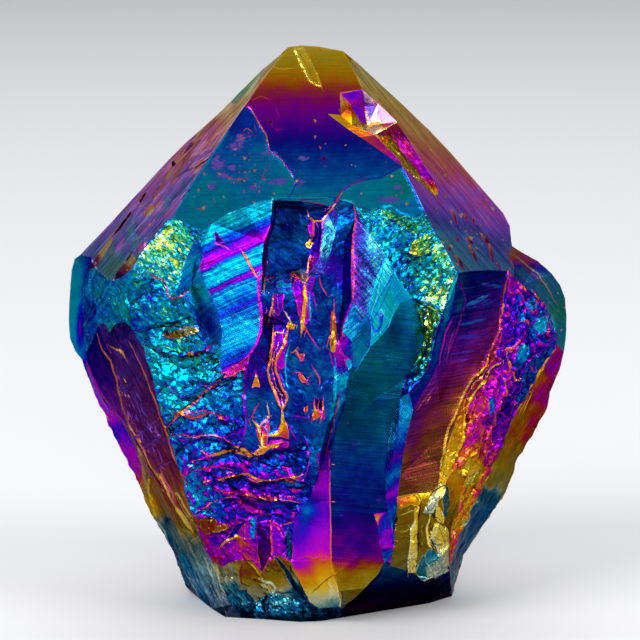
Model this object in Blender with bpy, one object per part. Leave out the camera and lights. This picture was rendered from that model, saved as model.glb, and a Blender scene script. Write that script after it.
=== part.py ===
"""Aura amethyst point: one natural quartz crystal with a six-faced termination, a broken and
etched body that tapers down, and a flat cut base. Metres, +Z up, origin at the middle of the
cut base's outline, front face towards -Y.

The crystal is one solid. Its facets are laid out the way a gem cutter maps a stone: on an
elevation sheet, seen from a station STATION mm away and SHEET_TILT degrees above the table.
A corner is (u, v, depth): u runs right and v runs down on the sheet, in units of UNIT mm, and
depth is the distance behind the crystal's middle plane in mm (negative is nearer the front).
A depth may also be the name of one of the crystal's big planes, or (plane, recess), where
recess pushes the corner that many mm into the crystal from the plane.
Every polyline below is a ridge, valley or ledge of the stone; the skin between them is a
constrained triangulation, which gives the flat, hard-edged facets that broken quartz has."""

import math

import bmesh
import bpy
from mathutils import Vector
from mathutils.geometry import (
    delaunay_2d_cdt, intersect_line_plane, intersect_plane_plane, normal,
)

# ---------------------------------------------------------------- driving dimensions
UNIT = 0.2125          # mm per sheet unit
SHEET_CENTRE = 320.0   # sheet units: the point of the sheet on the station's line of sight
SHEET_TILT = 10.0      # degrees that the station looks down
STATION = 900.0        # mm from the station to the crystal's middle
MIDDLE_Z = 60.4        # mm, height of the sheet's centre above the table
FACE_SLOPE = 52.0      # degrees: quartz rhombohedral faces lie 52 degrees from level
FACE_TURN = -4.0       # degrees that the front face is turned to the left
RIDGE_DEPTH = 5.0      # mm, depth of the chisel-shaped top ridge
LEDGE_DROP = 5.0       # sheet units from a ledge's crest down to its undercut
LEDGE_BITE = 1.7       # mm, how deep the undercut is
BASE_BACK = 24.0       # mm, how far the cut base reaches behind the middle plane

# ---------------------------------------------------------------- sheet to space
TILT = math.radians(SHEET_TILT)
BACKWARD = Vector((0, -math.cos(TILT), math.sin(TILT)))
UPWARD = Vector((0, math.sin(TILT), math.cos(TILT)))
EYE = Vector((0, 0, MIDDLE_Z)) + STATION * BACKWARD


def sight(u, v):
    """A point on the line of sight through (u, v), at the middle's distance."""
    return (
        EYE
        - STATION * BACKWARD
        + Vector(((u - SHEET_CENTRE) * UNIT, 0, 0))
        - (v - SHEET_CENTRE) * UNIT * UPWARD
    )


def at_depth(u, v, y):
    p = sight(u, v)
    t = (y - EYE.y) / (p.y - EYE.y)
    return EYE + t * (p - EYE)


def on_plane(u, v, plane):
    point, across = plane
    return intersect_line_plane(EYE, sight(u, v), point, across)


def to_sheet(p):
    """(u, v) of a point given in mm."""
    d = Vector(p) - EYE
    t = STATION / d.dot(-BACKWARD)
    d = d * t
    return (
        SHEET_CENTRE + d.x / UNIT,
        SHEET_CENTRE - d.dot(UPWARD) / UNIT,
    )


def plane_of(a, b, c):
    return (a, normal(a, b, c))


# ---------------------------------------------------------------- the big planes
slope, turn = math.radians(FACE_SLOPE), math.radians(FACE_TURN)
FRONT = (
    at_depth(316, 47.5, RIDGE_DEPTH),
    Vector(
        (
            math.sin(turn) * math.sin(slope),
            -math.cos(turn) * math.sin(slope),
            math.cos(slope),
        )
    ),
)
LEFT = plane_of(on_plane(288, 47, FRONT), on_plane(172, 218, FRONT), at_depth(75, 258, 4))
RIGHT = plane_of(on_plane(343, 51, FRONT), on_plane(434, 232, FRONT), at_depth(511, 238, 6))
LOW_RIGHT = plane_of(at_depth(512, 246, 5), at_depth(566, 312, 8.5), at_depth(513, 277, -6.5))
TABLE = (Vector((0, 0, 0)), Vector((0, 0, 1)))
PLANES = {"F": FRONT, "L": LEFT, "R": RIGHT, "R2": LOW_RIGHT, "Z": TABLE}


def corner(u, v, depth):
    if isinstance(depth, str):
        return on_plane(u, v, PLANES[depth])
    if isinstance(depth, tuple):
        return at_depth(u, v, on_plane(u, v, PLANES[depth[0]]).y + depth[1])
    return at_depth(u, v, depth)


# ---------------------------------------------------------------- the outline, clockwise from the top ridge's left end
TOP_RIDGE = [(288, 47, "F"), (302, 45.5, "F"), (318, 46.5, "F"), (331, 49, "F"), (343, 51, "F")]
RIGHT_FLANK = [
    (352, 58.5, "R"), (362, 67, "R"), (380, 84, "R"), (400, 102, "R"), (430, 131, "R"),
    (450, 152, "R"), (470, 175, "R"), (490, 198, "R"), (503, 213, 11), (510, 226, 9.5),
    (511, 238, 7),
]
RIGHT_SHOULDER = [
    (512, 246, "R2"), (525, 254, "R2"), (538, 261, "R2"), (552, 274, 9), (560, 285, 9),
    (565, 298, 8.5), (566.5, 315, 8), (566, 335, 7.5), (564, 352, 7),
]
RIGHT_TAPER = [
    (560, 369, 7), (551, 390, 7), (548, 404, 6.5), (541, 420, 6.5), (533, 437, 6),
    (524, 449, 6), (517, 460, 6), (513, 477, 6), (507, 487, 5.5), (501, 498, 5.5),
    (495, 508, 5), (487, 520, 5), (477, 533, 5), (469, 546, 4.5), (463, 556, 4),
    (460, 567, 4), (457, 579, 4),
]
BASE_FRONT = [
    (454, 591, "Z"), (452, 596, "Z"), (430, 603, "Z"), (400, 608, "Z"), (370, 613, "Z"),
    (340, 618, "Z"), (320, 621, "Z"), (300, 622, "Z"), (280, 620.5, "Z"), (260, 619, "Z"),
    (240, 618, "Z"), (225, 617, "Z"), (212, 609, "Z"), (202, 601, "Z"), (190, 591, "Z"),
]
LEFT_TAPER = [
    (185, 583, 3), (180, 571, 3), (176, 560, 3), (171, 547, 3), (165, 535, 3.5),
    (157, 523, 4), (151, 514, 4), (146, 504, 4), (143, 495, 4.5), (139, 485, 4.5),
    (133, 472, 5), (127, 461, 5), (121, 449, 5.5), (115, 437, 5.5), (109, 425, 6),
    (103, 411, 6), (96, 397, 6), (91, 384, 6.5), (86, 370, 6.5), (82, 360, 6.5),
]
LEFT_SHOULDER = [
    (75, 351, 7), (70, 338, 7), (69, 322, 7), (69.5, 305, 7), (70.5, 288, 6.5), (72, 270, 5.5),
    (74.5, 259, 4.5),
]
LEFT_FLANK = [
    (80, 255, "L"), (87.5, 247, "L"), (102, 232, "L"), (117, 216, "L"), (137, 194, "L"),
    (157, 172, "L"), (172.5, 156, "L"), (187.5, 141, "L"), (202.5, 128, "L"), (218, 114, "L"),
    (237, 95, "L"), (252, 80, "L"), (263, 69, "L"), (272.5, 61, "L"), (281, 54, "L"),
]
OUTLINE = (
    TOP_RIDGE + RIGHT_FLANK + RIGHT_SHOULDER + RIGHT_TAPER + BASE_FRONT + LEFT_TAPER
    + LEFT_SHOULDER + LEFT_FLANK
)

# ---------------------------------------------------------------- ridges, valleys and ledges of the front
FRONT_LINES = {
    # the termination's two clean edges beside the front face
    "front_left_edge": [
        (288, 47), (283, 54, "F"), (270, 70, "F"), (258, 86, "F"), (247, 103, "F"),
        (240, 112, "F"), (228, 130, "F"), (213, 153, "F"), (200, 172, "F"), (190, 187, "F"),
        (182, 201, "F"), (172, 218, "F"),
    ],
    "front_right_edge_high": [(343, 51), (350, 63, "F"), (357, 77, "F"), (362, 89.5, "F")],
    "front_right_edge_low": [(402, 166, "F"), (413, 187, "F"), (425, 212, "F"), (434, 232, "F")],
    # the long chip broken out of the front right edge
    "chip_rim": [
        (362, 89.5), (378, 104, "R"), (397, 122, "R"), (410, 142, "R"), (422, 162, "R"),
        (431, 176, "R"), (438, 188, "R"), (437, 197, "R"), (425, 187, "R"), (413, 176, "R"),
        (402, 166), (388, 156, "F"), (375, 147, "F"), (360, 137, "F"), (345, 127, "F"),
        (328, 114, "F"), (341, 115, ("F", 0.3)), (340, 93, "F"), (351, 91, "F"), (362, 89.5),
    ],
    "chip_sill": [
        (341, 115), (352, 125, ("F", 0.5)), (363, 130, ("F", 0.7)), (375, 135, ("F", 0.2)),
        (397, 122),
    ],
    "chip_valley": [(362, 89.5), (364, 107, ("F", 4.5)), (367, 125, ("F", 4.0)), (363, 130)],
    "chip_step": [(340, 93), (351, 105, ("F", 2.6)), (360, 121, ("F", 3.2)), (367, 125)],
    "chip_gash": [
        (375, 135), (390, 136, ("R", 3.2)), (404, 153, ("R", 3.6)), (418, 172, ("R", 3.0)),
        (430, 189, ("R", 1.4)), (437, 197),
    ],
    "chip_lip": [(375, 135), (386, 147, ("F", 0.4)), (397, 158, ("F", 0.3)), (402, 166)],
    # where the termination stops and the broken body starts
    "front_hem": [
        (172, 218), (182, 223, "F"), (193, 229, "F"), (203, 231, "F"), (212, 224, "F"),
        (228, 213, "F"), (245, 207, "F"), (262, 201, "F"), (272, 200, "F"), (300, 201, "F"),
        (330, 206, "F"), (340, 200, "F"), (353, 202, "F"), (364, 213, "F"), (378, 207, "F"),
        (390, 213, "F"), (400, 217, "F"), (413, 215, "F"), (425, 212),
    ],
    "right_hem": [
        (434, 232), (440, 241, "R"), (447, 253, "R"), (453, 264, "R"), (457, 273, "R"),
        (470, 271, "R"), (490, 270, "R"), (507, 271, "R"), (514, 277, "R2"),
        (523, 285, "R2"), (533, 293, "R2"), (543, 304, -2), (551, 316, 1), (555, 330, 2.5),
        (557, 345, 4), (560, 369),
    ],
    "right_step": [(511, 238), (506, 244, "R"), (509, 253, "R"), (514, 265, "R"), (514, 277)],
    "left_hem": [
        (74.5, 259), (91, 257, -0.5), (93, 266, -5), (101, 275, -10), (112, 281, -15.5),
        (122, 278, -20), (133, 268, -22), (140, 256, "L"), (148, 245, "L"), (160, 230, "L"),
        (172, 218),
    ],
    # left shoulder: a narrow prism face, then a chipped, rounded zone
    "left_prism": [
        (91, 257), (89, 272, -0.5), (84, 287, 1.5), (82, 303, 2.5), (83, 320, 3), (84, 338, 3.5),
        (86, 351, 4.5), (82, 360),
    ],
    "left_chip_zone": [(101, 275), (98, 300, -6), (96, 320, -4.4), (98, 327, -3.6)],
    "left_rough_edge": [
        (133, 268), (132, 290, -19.6), (131, 310, -18), (132, 330, -16.5),
    ],
    # the long dark face that runs down the left side
    "left_face_top": [
        (86, 351), (92, 341, 1), (98, 327), (104, 323, -5), (110, 332, -7), (117, 323, -9.5),
        (125, 322, -13), (132, 330),
    ],
    "left_face_right_edge": [
        (132, 330), (141, 346, -17), (150, 370, -17.5), (156, 395, -17.5), (162, 415, -17.3),
        (168, 434, -17), (176, 457, -16.4), (182, 478, -15.5), (188, 497, -14.6),
        (193, 515, -13.6), (200, 535, -12.6), (207, 551, -12), (213, 562, -12),
    ],
    "left_face_left_edge": [
        (86, 351), (88, 367, 4), (95, 383, 3), (103, 400, 2), (113, 413, 0), (122, 423, -1.5),
        (129, 434, -2.2), (135, 447, -2.4), (140, 459, -2.6), (144, 471, -2.2), (148, 485, -1.7),
        (153, 497, -1.2), (159, 510, -0.5), (166, 524, 0), (172, 539, 0.3), (178, 554, 0.2),
        (184, 569, -0.2), (191, 584, -0.6), (202, 601),
    ],
    "left_face_ridge": [
        (98, 327), (104, 342, -4.2), (111, 358, -6.8), (116, 376, -8.2), (119, 395, -8.8),
        (126, 412, -9), (131, 431, -9.2), (140, 452, -9.2), (150, 470, -9), (159, 487, -8.4),
        (167, 505, -7.6), (175, 524, -6.8), (184, 545, -6.2), (193, 568, -5.6), (205, 590, -6),
        (212, 609),
    ],
    "left_shard_a": [(156, 473, -9.6), (166, 489, -10.9), (173, 503, -9.2)],
    "left_shard_b": [(176, 497, -12.0), (186, 516, -11.3), (195, 533, -10.0)],
    "left_foot_edge": [
        (213, 562), (217, 577, -12.8), (223, 592, -13.8), (233, 604, -15.4), (243, 611, -16.6),
        (240, 618),
    ],
    # striated left face and the smooth conchoidal hollow beside it
    "striated_left_ridge": [
        (272, 200), (271, 213, -20), (270, 226, -21.6), (264, 241, -23), (262, 258, -24.2),
        (262, 275, -25), (261, 293, -25.6), (262, 312, -26), (262, 332, -26.5),
        (256, 346, -26.6), (249, 359, -26.3), (246, 372, -26), (246, 400, -26), (244, 425, -26),
        (243, 446, -26),
    ],
    "striated_left_border": [
        (203, 231), (201, 245, -20.8), (203, 258, -21.4), (199, 268, -21.8), (205, 283, -22.2),
        (213, 300, -22.8), (219, 317, -23.3), (222, 332, -23.6), (221, 348, -23.8),
        (220, 362, -24), (223, 375, -24.3), (235, 366, -25.2), (249, 359),
    ],
    "hollow": [
        (193, 229), (193, 243, -20.3), (185, 262, -20.6), (180, 279, -21), (176, 291, -21.6),
        (186, 298, -22.4), (194, 315, -23.2), (200, 332, -23.6), (207, 346, -24), (215, 353, -24),
        (221, 348),
    ],
    "hollow_floor": [
        (201, 245), (194, 262, -20.0), (192, 284, -20.2), (203, 314, -20.8), (212, 335, -22),
        (221, 348),
    ],
    # rough ground left of the channel
    "rough_left_ribs": [
        (160, 230), (158, 262, -20.6), (152, 285, -19.6), (168, 300, -21.6), (176, 291),
    ],
    "rough_left_ledge_a": [(132, 330), (150, 325, -19.8), (170, 322, -21.2), (194, 315)],
    "rough_left_ledge_b": [
        (141, 346), (160, 352, -20.6), (178, 356, -22), (195, 352, -23), (207, 346),
    ],
    "rough_left_ledge_c": [
        (150, 370), (165, 380, -20.4), (180, 398, -22.4), (198, 390, -23.6), (212, 383, -24.8),
        (226, 377, -25), (223, 375),
    ],
    "rough_left_ledge_d": [
        (162, 415), (168, 425, -18.2), (183, 415, -21.4), (200, 411, -23.6), (216, 413, -24.8),
        (232, 417, -25.4), (244, 425),
    ],
    "rough_left_ledge_e": [
        (168, 434), (178, 447, -18.6), (190, 437, -22), (206, 435, -23.6), (224, 440, -24.8),
        (243, 446),
    ],
    "rough_left_ledge_f": [
        (176, 457), (195, 462, -20.6), (210, 455, -23.6), (225, 452, -24.8), (240, 449, -25.8),
        (243, 446),
    ],
    "rough_ledge_g": [
        (243, 446), (256, 455, -26.4), (268, 452, -26.4), (280, 445, -26.4), (292, 449, -25.6),
        (305, 443, -25.4),
    ],
    "rough_ledge_h": [
        (182, 478), (205, 482, -20.6), (228, 478, -24.4), (240, 476, -25.6), (255, 482, -26),
        (270, 480, -26.4), (290, 476, -26.8), (302, 480, -26.6), (314, 488, -26.4),
    ],
    "rough_ledge_i": [
        (188, 497), (212, 502, -19.8), (238, 495, -24.4), (255, 497, -25.2), (269, 498, -25.2),
        (290, 503, -25.4), (303, 507, -25.6),
    ],
    # the sunken channel down the middle
    "channel_top": [
        (272, 200), (276, 208, -15.8), (300, 209, -15.6), (308, 213, -16.4), (315, 221, -18.6),
        (322, 221, -18.8), (328, 214, -18.6), (334, 207, -19.4), (340, 200),
    ],
    "channel_block_left": [
        (276, 208), (275, 225, -17.2), (269, 240, -18.6), (267, 258, -19.8), (266, 272, -20.8),
        (261, 293),
    ],
    "channel_block_foot": [
        (266, 272), (285, 270, -20.2), (300, 269, -20.2), (309, 273, -21.2), (305, 286, -23.8),
        (300, 280, -22.8), (293, 272, -21.8),
    ],
    "channel_rib": [
        (308, 213), (309, 228, -18.4), (314, 238, -18.2), (310, 247, -18.6), (309, 258, -19.2),
        (309, 273),
    ],
    "channel_inner_wall": [
        (322, 221), (322, 240, -20), (320, 258, -20.8), (313, 268, -21.6), (309, 273),
    ],
    "channel_lit_wall": [
        (334, 207), (338, 214, -20.6), (336, 232, -21.4), (331, 252, -22.2), (325, 275, -22.8),
        (327, 295, -22.8), (331, 318, -23.2),
    ],
    "channel_column": [
        (353, 202), (355, 220, -22.6), (352, 240, -24.2), (351, 270, -26), (352, 300, -26.8),
        (344, 322, -26.8), (340, 345, -26.8), (345, 361, -27), (349, 370, -27.2),
    ],
    "channel_column_foot": [(345, 240, -21.2), (343, 270, -22.4), (342, 300, -23.2), (338, 325, -24)],
    "channel_spine": [
        (305, 286), (303, 303, -24.6), (303, 322, -24.8), (300, 336, -24.4),
    ],
    "channel_spike_left": [
        (272, 325, -23.2), (270, 345, -24.6), (266, 365, -25), (270, 384, -25.4),
        (277, 398, -25.8), (282, 412, -26.4), (282, 430, -26.6), (280, 445),
    ],
    "channel_spike_right": [
        (288, 325, -24.2), (284, 345, -25.4), (277, 360, -25.6), (278, 372, -25.6),
        (285, 389, -25.6), (284, 402, -26), (282, 412),
    ],
    "channel_shelf": [(246, 400), (258, 405, -24.6), (264, 425, -25), (262, 442, -25.8), (268, 452)],
    "channel_floor": [(292, 360, -24), (300, 385, -24.2), (305, 410, -24.6), (306, 430, -25), (305, 443)],
    "channel_low_wall": [
        (331, 318), (332, 335, -25.2), (331, 347, -25.6), (336, 362, -25.6), (333, 380, -25.6),
        (332, 400, -25.6), (329, 422, -25.8), (322, 447, -26.2), (318, 470, -26.8),
    ],
    "channel_low_step": [(305, 443), (309, 458, -26), (306, 472, -26.4), (302, 480)],
    # the ridge between the magenta wedge and the big dark face
    "main_ridge": [
        (349, 370), (347, 385, -27.6), (345, 400, -28), (338, 426, -28.6), (331, 450, -29.2),
        (330, 470, -29.6), (330, 500, -30), (331, 530, -30), (331, 560, -29.6), (335, 575, -29),
        (339, 591, -27.4), (341, 606, -24.5),
    ],
    "wedge_left_edge": [
        (318, 470), (314, 488), (303, 507), (295, 521, -25), (291, 541, -24.6),
        (292, 562, -24.6), (300, 583, -24.2), (310, 602, -23),
    ],
    # striated right face, cyan wedge and dark face
    "striated_right_top": [
        (353, 202), (362, 224, -22.8), (371, 234, -23.2), (379, 246, -23.8), (385, 255, -24.4),
        (395, 272, -24.8), (412, 298, -24.6),
    ],
    "striated_right_foot": [
        (385, 255), (378, 271, -25.6), (372, 291, -26.4), (368, 312, -26.8), (360, 324, -26.8),
        (352, 300),
    ],
    "striated_low": [(360, 324), (362, 340, -26.9), (352, 357, -27), (345, 361)],
    "cyan_wedge_foot": [
        (412, 298), (400, 303, -24.8), (392, 318, -25.2), (383, 331, -25.6), (366, 350, -26.6),
        (356, 362, -27), (349, 370),
    ],
    "cyan_wedge_notch": [(368, 312), (378, 326, -25.8), (383, 331)],
    "dark_face_right": [
        (412, 298), (420, 316, -23), (424, 338, -22.6), (418, 358, -22.8), (407, 378, -24),
        (400, 398, -25), (392, 420, -24.2), (388, 441, -24.4), (385, 470, -24.4),
        (386, 498, -24.4), (388, 512, -24.2), (374, 514, -25.6), (378, 527, -25),
        (380, 545, -24.2), (384, 562, -22.4), (378, 574, -21.6), (365, 588, -21.2),
        (351, 601, -21), (342, 610, -21),
    ],
    "dark_face_fold": [(366, 350), (372, 400, -25.6), (368, 450, -26), (362, 505, -26), (360, 555, -25)],
    "small_chips": [(388, 512), (392, 530, -23.6), (393, 548, -23), (384, 562)],
    # bright rough ground right of the channel
    "rough_right_top": [
        (364, 213), (380, 222, -21.8), (393, 230, -22.6), (402, 227, -22.4), (413, 236, -23.6),
        (426, 239, -24.6), (434, 232),
    ],
    "rough_right_mid": [
        (393, 230), (398, 250, -23), (410, 262, -22.8), (418, 252, -24.2), (430, 254, -24.8),
        (447, 253),
    ],
    "rough_right_low": [(412, 298), (424, 284, -24), (432, 262, -24.8), (430, 254)],
    "rough_right_edge": [
        (457, 273), (449, 290, -29), (443, 308, -28.4), (438, 328, -28), (433, 347, -27.6),
        (427, 368, -27), (419, 382, -26.4), (409, 392, -26), (400, 398),
    ],
    "blue_wedge": [
        (409, 392), (413, 410, -25.6), (408, 430, -25.2), (404, 450, -25), (400, 476, -24.8),
        (397, 500, -24.4), (393, 520, -24), (392, 530),
    ],
    "blue_wedge_rib": [(400, 398), (398, 430, -25.8), (394, 455, -25.6), (386, 498)],
    # the long purple face and the gold ridges beside it
    "purple_face_left": [
        (457, 273), (454, 300, -27.6), (449, 325, -27.4), (442, 350, -27), (436, 371, -26.6),
        (425, 390, -26), (413, 410),
    ],
    "purple_face_right": [
        (507, 271), (505, 290, -9.8), (501, 310, -10.8), (497, 330, -11.8), (489, 350, -13.2),
        (480, 368, -14.8), (470, 386, -16.2), (461, 404, -17.4), (455, 425, -18.4),
        (447, 446, -19.6), (441, 466, -20.4), (438, 488, -21.2), (428, 493, -22.4),
        (415, 494, -23.6), (397, 500),
    ],
    "purple_face_hollow": [
        (478, 290, -19), (472, 325, -19.4), (460, 360, -20.4), (440, 405, -21), (425, 450, -21.4),
    ],
    "gold_ridge": [
        (501, 310), (504, 331, -10.8), (496, 352, -12), (485, 373, -13.8), (474, 393, -15.4),
        (468, 411, -16.2), (464, 430, -16.6), (459, 450, -17.4), (453, 470, -18.4),
        (446, 483, -19.8), (438, 488),
    ],
    # rough blue ground on the right and the narrow face at its edge
    "rough_far_a": [(514, 277), (518, 300, -6.4), (512, 320, -8.4), (504, 331)],
    "rough_far_b": [(533, 293), (534, 312, -4), (530, 335, -4.4), (520, 346, -7), (511, 365, -9), (496, 352)],
    "rough_far_c": [(551, 316), (545, 333, -0.6), (541, 350, 0), (534, 366, -1.4), (520, 372, -6), (511, 365)],
    "rough_far_d": [
        (511, 365), (508, 385, -9.8), (498, 405, -11.4),
        (488, 430, -12.8), (478, 455, -14.2), (466, 478, -15.6), (453, 470),
    ],
    "narrow_face_edge": [
        (557, 345), (547, 362, 3), (535, 382, 0.8), (525, 398, -1), (516, 414, -2.4),
        (508, 430, -3.4), (500, 448, -4.4), (494, 462, -5), (487, 478, -6), (480, 492, -6.8),
        (475, 505, -7.6), (468, 520, -8.4), (459, 535, -9.2), (453, 550, -9.8), (449, 565, -10.6),
        (450, 576, -9.6), (452, 596),
    ],
    "narrow_face_fold": [(560, 369), (547, 387, 4.4), (532, 410, 2.6), (516, 440, 1), (503, 470, -0.4), (490, 495, -1.4), (473, 522, -2.6), (461, 545, -3)],
    # gold facets above the foot
    "gold_top": [(466, 478), (460, 500, -14.6), (453, 520, -14), (450, 545, -12.4), (449, 565)],
    "gold_block": [
        (397, 500), (395, 521, -23.6), (393, 548), (390, 566, -21), (402, 569, -19.6),
        (410, 572, -18.8), (416, 575, -18), (424, 581, -17), (433, 577, -15.8), (441, 575, -13.8), (449, 565),
    ],
    "gold_rib_a": [(415, 494), (413, 515, -24.4), (411, 540, -23.2), (409, 558, -21.8), (410, 572)],
    "gold_rib_b": [(421, 500, -23.4), (419, 530, -21.8), (417, 560, -20), (416, 575)],
    "gold_shard": [
        (446, 483), (438, 500, -22), (430, 513, -22.4), (437, 524, -20.8), (428, 545, -21),
        (433, 560, -19.4), (441, 575),
    ],
    "gold_shard_edge": [(438, 500), (443, 525, -18), (446, 545, -15.6), (446, 560, -13)],
    # purple and gold scallops above the foot, left of the wedge
    "scallop_line": [
        (193, 515), (206, 520, -16.6), (222, 522, -20), (240, 518, -22), (258, 523, -23),
        (269, 519, -23.8), (280, 526, -24.4), (291, 541),
    ],
    "purple_facets": [(269, 519), (269, 545, -24.6), (271, 560, -23.8)],
    "purple_facet_left": [(258, 523), (254, 545, -22), (262, 572, -21.2)],
    "scallop_tops": [
        (213, 562), (224, 566, -15.6), (236, 561, -18.8), (250, 560, -20.8), (262, 572),
        (271, 560), (280, 556, -24.2), (292, 562),
    ],
    "scallop_rib_a": [(236, 561), (242, 577, -18.6), (247, 590, -18)],
    "scallop_rib_b": [(262, 572), (263, 586, -19.6), (262, 597, -18.6)],
    "scallop_rib_c": [(280, 556), (288, 577, -22.4), (297, 597, -21.6)],
    "foot_line": [
        (217, 577), (232, 594, -16), (247, 590), (256, 602, -18), (262, 597), (272, 591, -20.4),
        (284, 598, -20.8), (297, 597), (310, 602), (320, 609, -23.4), (331, 608, -24),
        (341, 606), (342, 610),
    ],
    "foot_fold": [(243, 611), (256, 613, -19.2), (270, 610, -20.6), (290, 613, -22), (308, 614, -23), (325, 615, -22.4), (342, 610)],
    "foot_right": [(384, 562), (390, 566)],
    "foot_right_fold": [(342, 610), (365, 602, -17), (392, 592, -16), (420, 592, -13), (441, 575)],
}

# ---------------------------------------------------------------- ridges of the back, (x, y, z) in mm
# z may be the name of one of the three back tip faces: the corner then lies on that face.
BACK_LINES = {
    "back_hem": [
        (-46.3, 12.8, "BL"), (-38.5, 23.2, "BL"), (-31.5, 32.6, "BL"), "back_left_corner",
        (-13, 43.6, "B"), (-5, 42.4, "B"), (6, 43.0, "B"), (13, 41.8, "B"), "back_right_corner",
        (29.5, 33.2, "BR"), (38, 24, 69), (46.5, 13.6, 66),
    ],
    "back_left_edge": ["ridge_left", "back_left_edge_a", "back_left_edge_b", "back_left_corner"],
    "back_right_edge": ["ridge_right", "back_right_edge_a", "back_right_edge_b", "back_right_corner"],
    "back_left_bevel": [
        "ridge_left", (-15.5, 11, "BL"), (-26.5, 11.6, "BL"), (-37, 11.2, "BL"),
        (-46.3, 12.8, "BL"),
    ],
    "back_right_bevel": [
        "ridge_right", (10.5, 11.5, "BR"), (19.5, 14.8, "BR"), (28, 17.6, "BR"),
        (33, 19.5, "BR"), (34, 26, "BR"), (29.5, 33.2, "BR"),
    ],
    "back_notch": [(34, 26, "BR"), (40, 16.5, 75), (38, 24, 69)],
    "back_prism_mid": [
        (-45.2, 13.4, 57), (-37.4, 23.4, 58.5), (-30.2, 32.8, 56), (-23.4, 41.4, 58),
        (-13, 43.0, 55), (-6, 42.6, 57.5),
    ],
    "back_prism_mid_right": [
        (6.5, 42.8, 54), (14, 41.9, 57), (22.2, 40.6, 55),
        (29, 32.8, 57.5), (36.8, 23.6, 55.5), (44.6, 14.4, 57),
    ],
    "back_prism_foot": [
        (-41.8, 14.6, 45), (-35, 23.2, 41.5), (-28, 32.2, 45.5), (-21.6, 40.4, 41),
        (-13, 41.8, 44.5), (-7, 41.6, 39),
    ],
    "back_prism_foot_right": [
        (6, 41.7, 42), (14, 41.2, 37.5), (21.4, 39.4, 41.5),
        (28.2, 32.2, 38.5), (35, 23.9, 43), (41.8, 15.4, 40.5),
    ],
    "back_fracture": [
        (-37, 13.4, 32), (-32.2, 22.6, 27.5), (-25.6, 30.2, 31), (-17.8, 37.2, 28),
        (-8, 39.8, 30),
    ],
    "back_fracture_right": [
        (3, 37.2, 26.5), (12, 38.4, 31), (20.2, 34.6, 27), (28, 28.4, 31),
        (34.6, 20.0, 27.5), (39, 12.6, 31),
    ],
    "back_low": [
        (-31.6, 13.2, 20), (-26.4, 21.4, 16), (-20, 27.6, 19.5), (-13, 32.8, 14.5),
        (-3, 34.2, 18.5), (7, 31.6, 14), (15.5, 31.4, 18.5), (22.4, 26.2, 14), (29.4, 20.0, 18),
        (34.4, 11.6, 15.5),
    ],
    "back_foot": [
        (-27.6, 10.8, 8), (-22.6, 18.4, 6), (-13.6, 25.0, 8.5), (-2.6, 27.6, 5.8), (8.4, 26.8, 8.6),
        (18.6, 21.6, 5.8), (26.6, 14.6, 7.6), (29.6, 9.6, 6),
    ],
    "base_back": [
        (-27.2, 9.5, 0), (-24.5, 14.5, 0), (-18.5, 19.2, 0), (-10, 22.6, 0), (0, BASE_BACK, 0),
        (10, 22.9, 0), (18.5, 19.4, 0), (25, 14.2, 0), (28.2, 9.2, 0),
    ],
    "back_left_arris": [
        "back_left_corner", (-23.4, 41.4, 58), (-21.6, 40.4, 41), (-17.8, 37.2, 28),
        (-13, 32.8, 14.5), (-13.6, 25.0, 8.5), (-10, 22.6, 0),
    ],
    "back_right_arris": [
        "back_right_corner", (22.2, 40.6, 55), (21.4, 39.4, 41.5), (20.2, 34.6, 27),
        (22.4, 26.2, 14), (18.6, 21.6, 5.8), (18.5, 19.4, 0),
    ],
    # an etched groove down the middle of the back, with a stepped floor
    "groove_left": [
        (-5, 42.4, "B"), (-6, 42.6, 57.5), (-7, 41.6, 39), (-8, 39.8, 30), (-3, 34.2, 18.5),
    ],
    "groove_right": [
        (6, 43.0, "B"), (6.5, 42.8, 54), (6, 41.7, 42), (3, 37.2, 26.5), (-3, 34.2, 18.5),
    ],
    "groove_floor": [
        (0.5, 40.4, 64), (-1.5, 38.0, 57), (1.0, 38.4, 50), (-1.8, 36.4, 43), (-1.0, 36.0, 34),
        (-3, 34.2, 18.5),
    ],
    # conchoidal hollows low on the back
    "hollow_left": [
        (-28, 32.2, 45.5), (-25.6, 30.2, 31), (-20, 27.6, 19.5), (-22.6, 18.4, 6),
        (-24.5, 14.5, 0),
    ],
    "hollow_right": [
        (28.2, 32.2, 38.5), (28, 28.4, 31), (29.4, 20.0, 18), (26.6, 14.6, 7.6), (25, 14.2, 0),
    ],
    "far_left": [
        (-38.5, 23.2, "BL"), (-37.4, 23.4, 58.5), (-35, 23.2, 41.5), (-32.2, 22.6, 27.5),
        (-26.4, 21.4, 16), (-22.6, 18.4, 6),
    ],
    "far_right": [
        (38, 24, 69), (36.8, 23.6, 55.5), (35, 23.9, 43), (34.6, 20.0, 27.5), (29.4, 20.0, 18),
    ],
}
RIDGE_LEFT, RIDGE_RIGHT = on_plane(288, 47, FRONT), on_plane(343, 51, FRONT)
BACK_FACE = plane_of(RIDGE_LEFT, RIDGE_RIGHT, Vector((0, 44, 67.6)))
BACK_LEFT_FACE = plane_of(RIDGE_LEFT, at_depth(75, 259, 4.5), Vector((-24.4, 42.2, 71.1)))
BACK_RIGHT_FACE = plane_of(RIDGE_RIGHT, on_plane(490, 198, RIGHT), Vector((22.2, 41.0, 69.8)))
BACK_FACES = {"B": BACK_FACE, "BL": BACK_LEFT_FACE, "BR": BACK_RIGHT_FACE}


def above(x, y, plane):
    """The point of the plane straight above (x, y)."""
    point, across = plane
    z = point.z - ((x - point.x) * across.x + (y - point.y) * across.y) / across.z
    return Vector((x, y, z))


def down_edge(start, side, y):
    """The point at depth y of the edge between the back face and a side face."""
    _, along = intersect_plane_plane(*BACK_FACE, *side)
    return start + along * ((y - start.y) / along.y)


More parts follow.
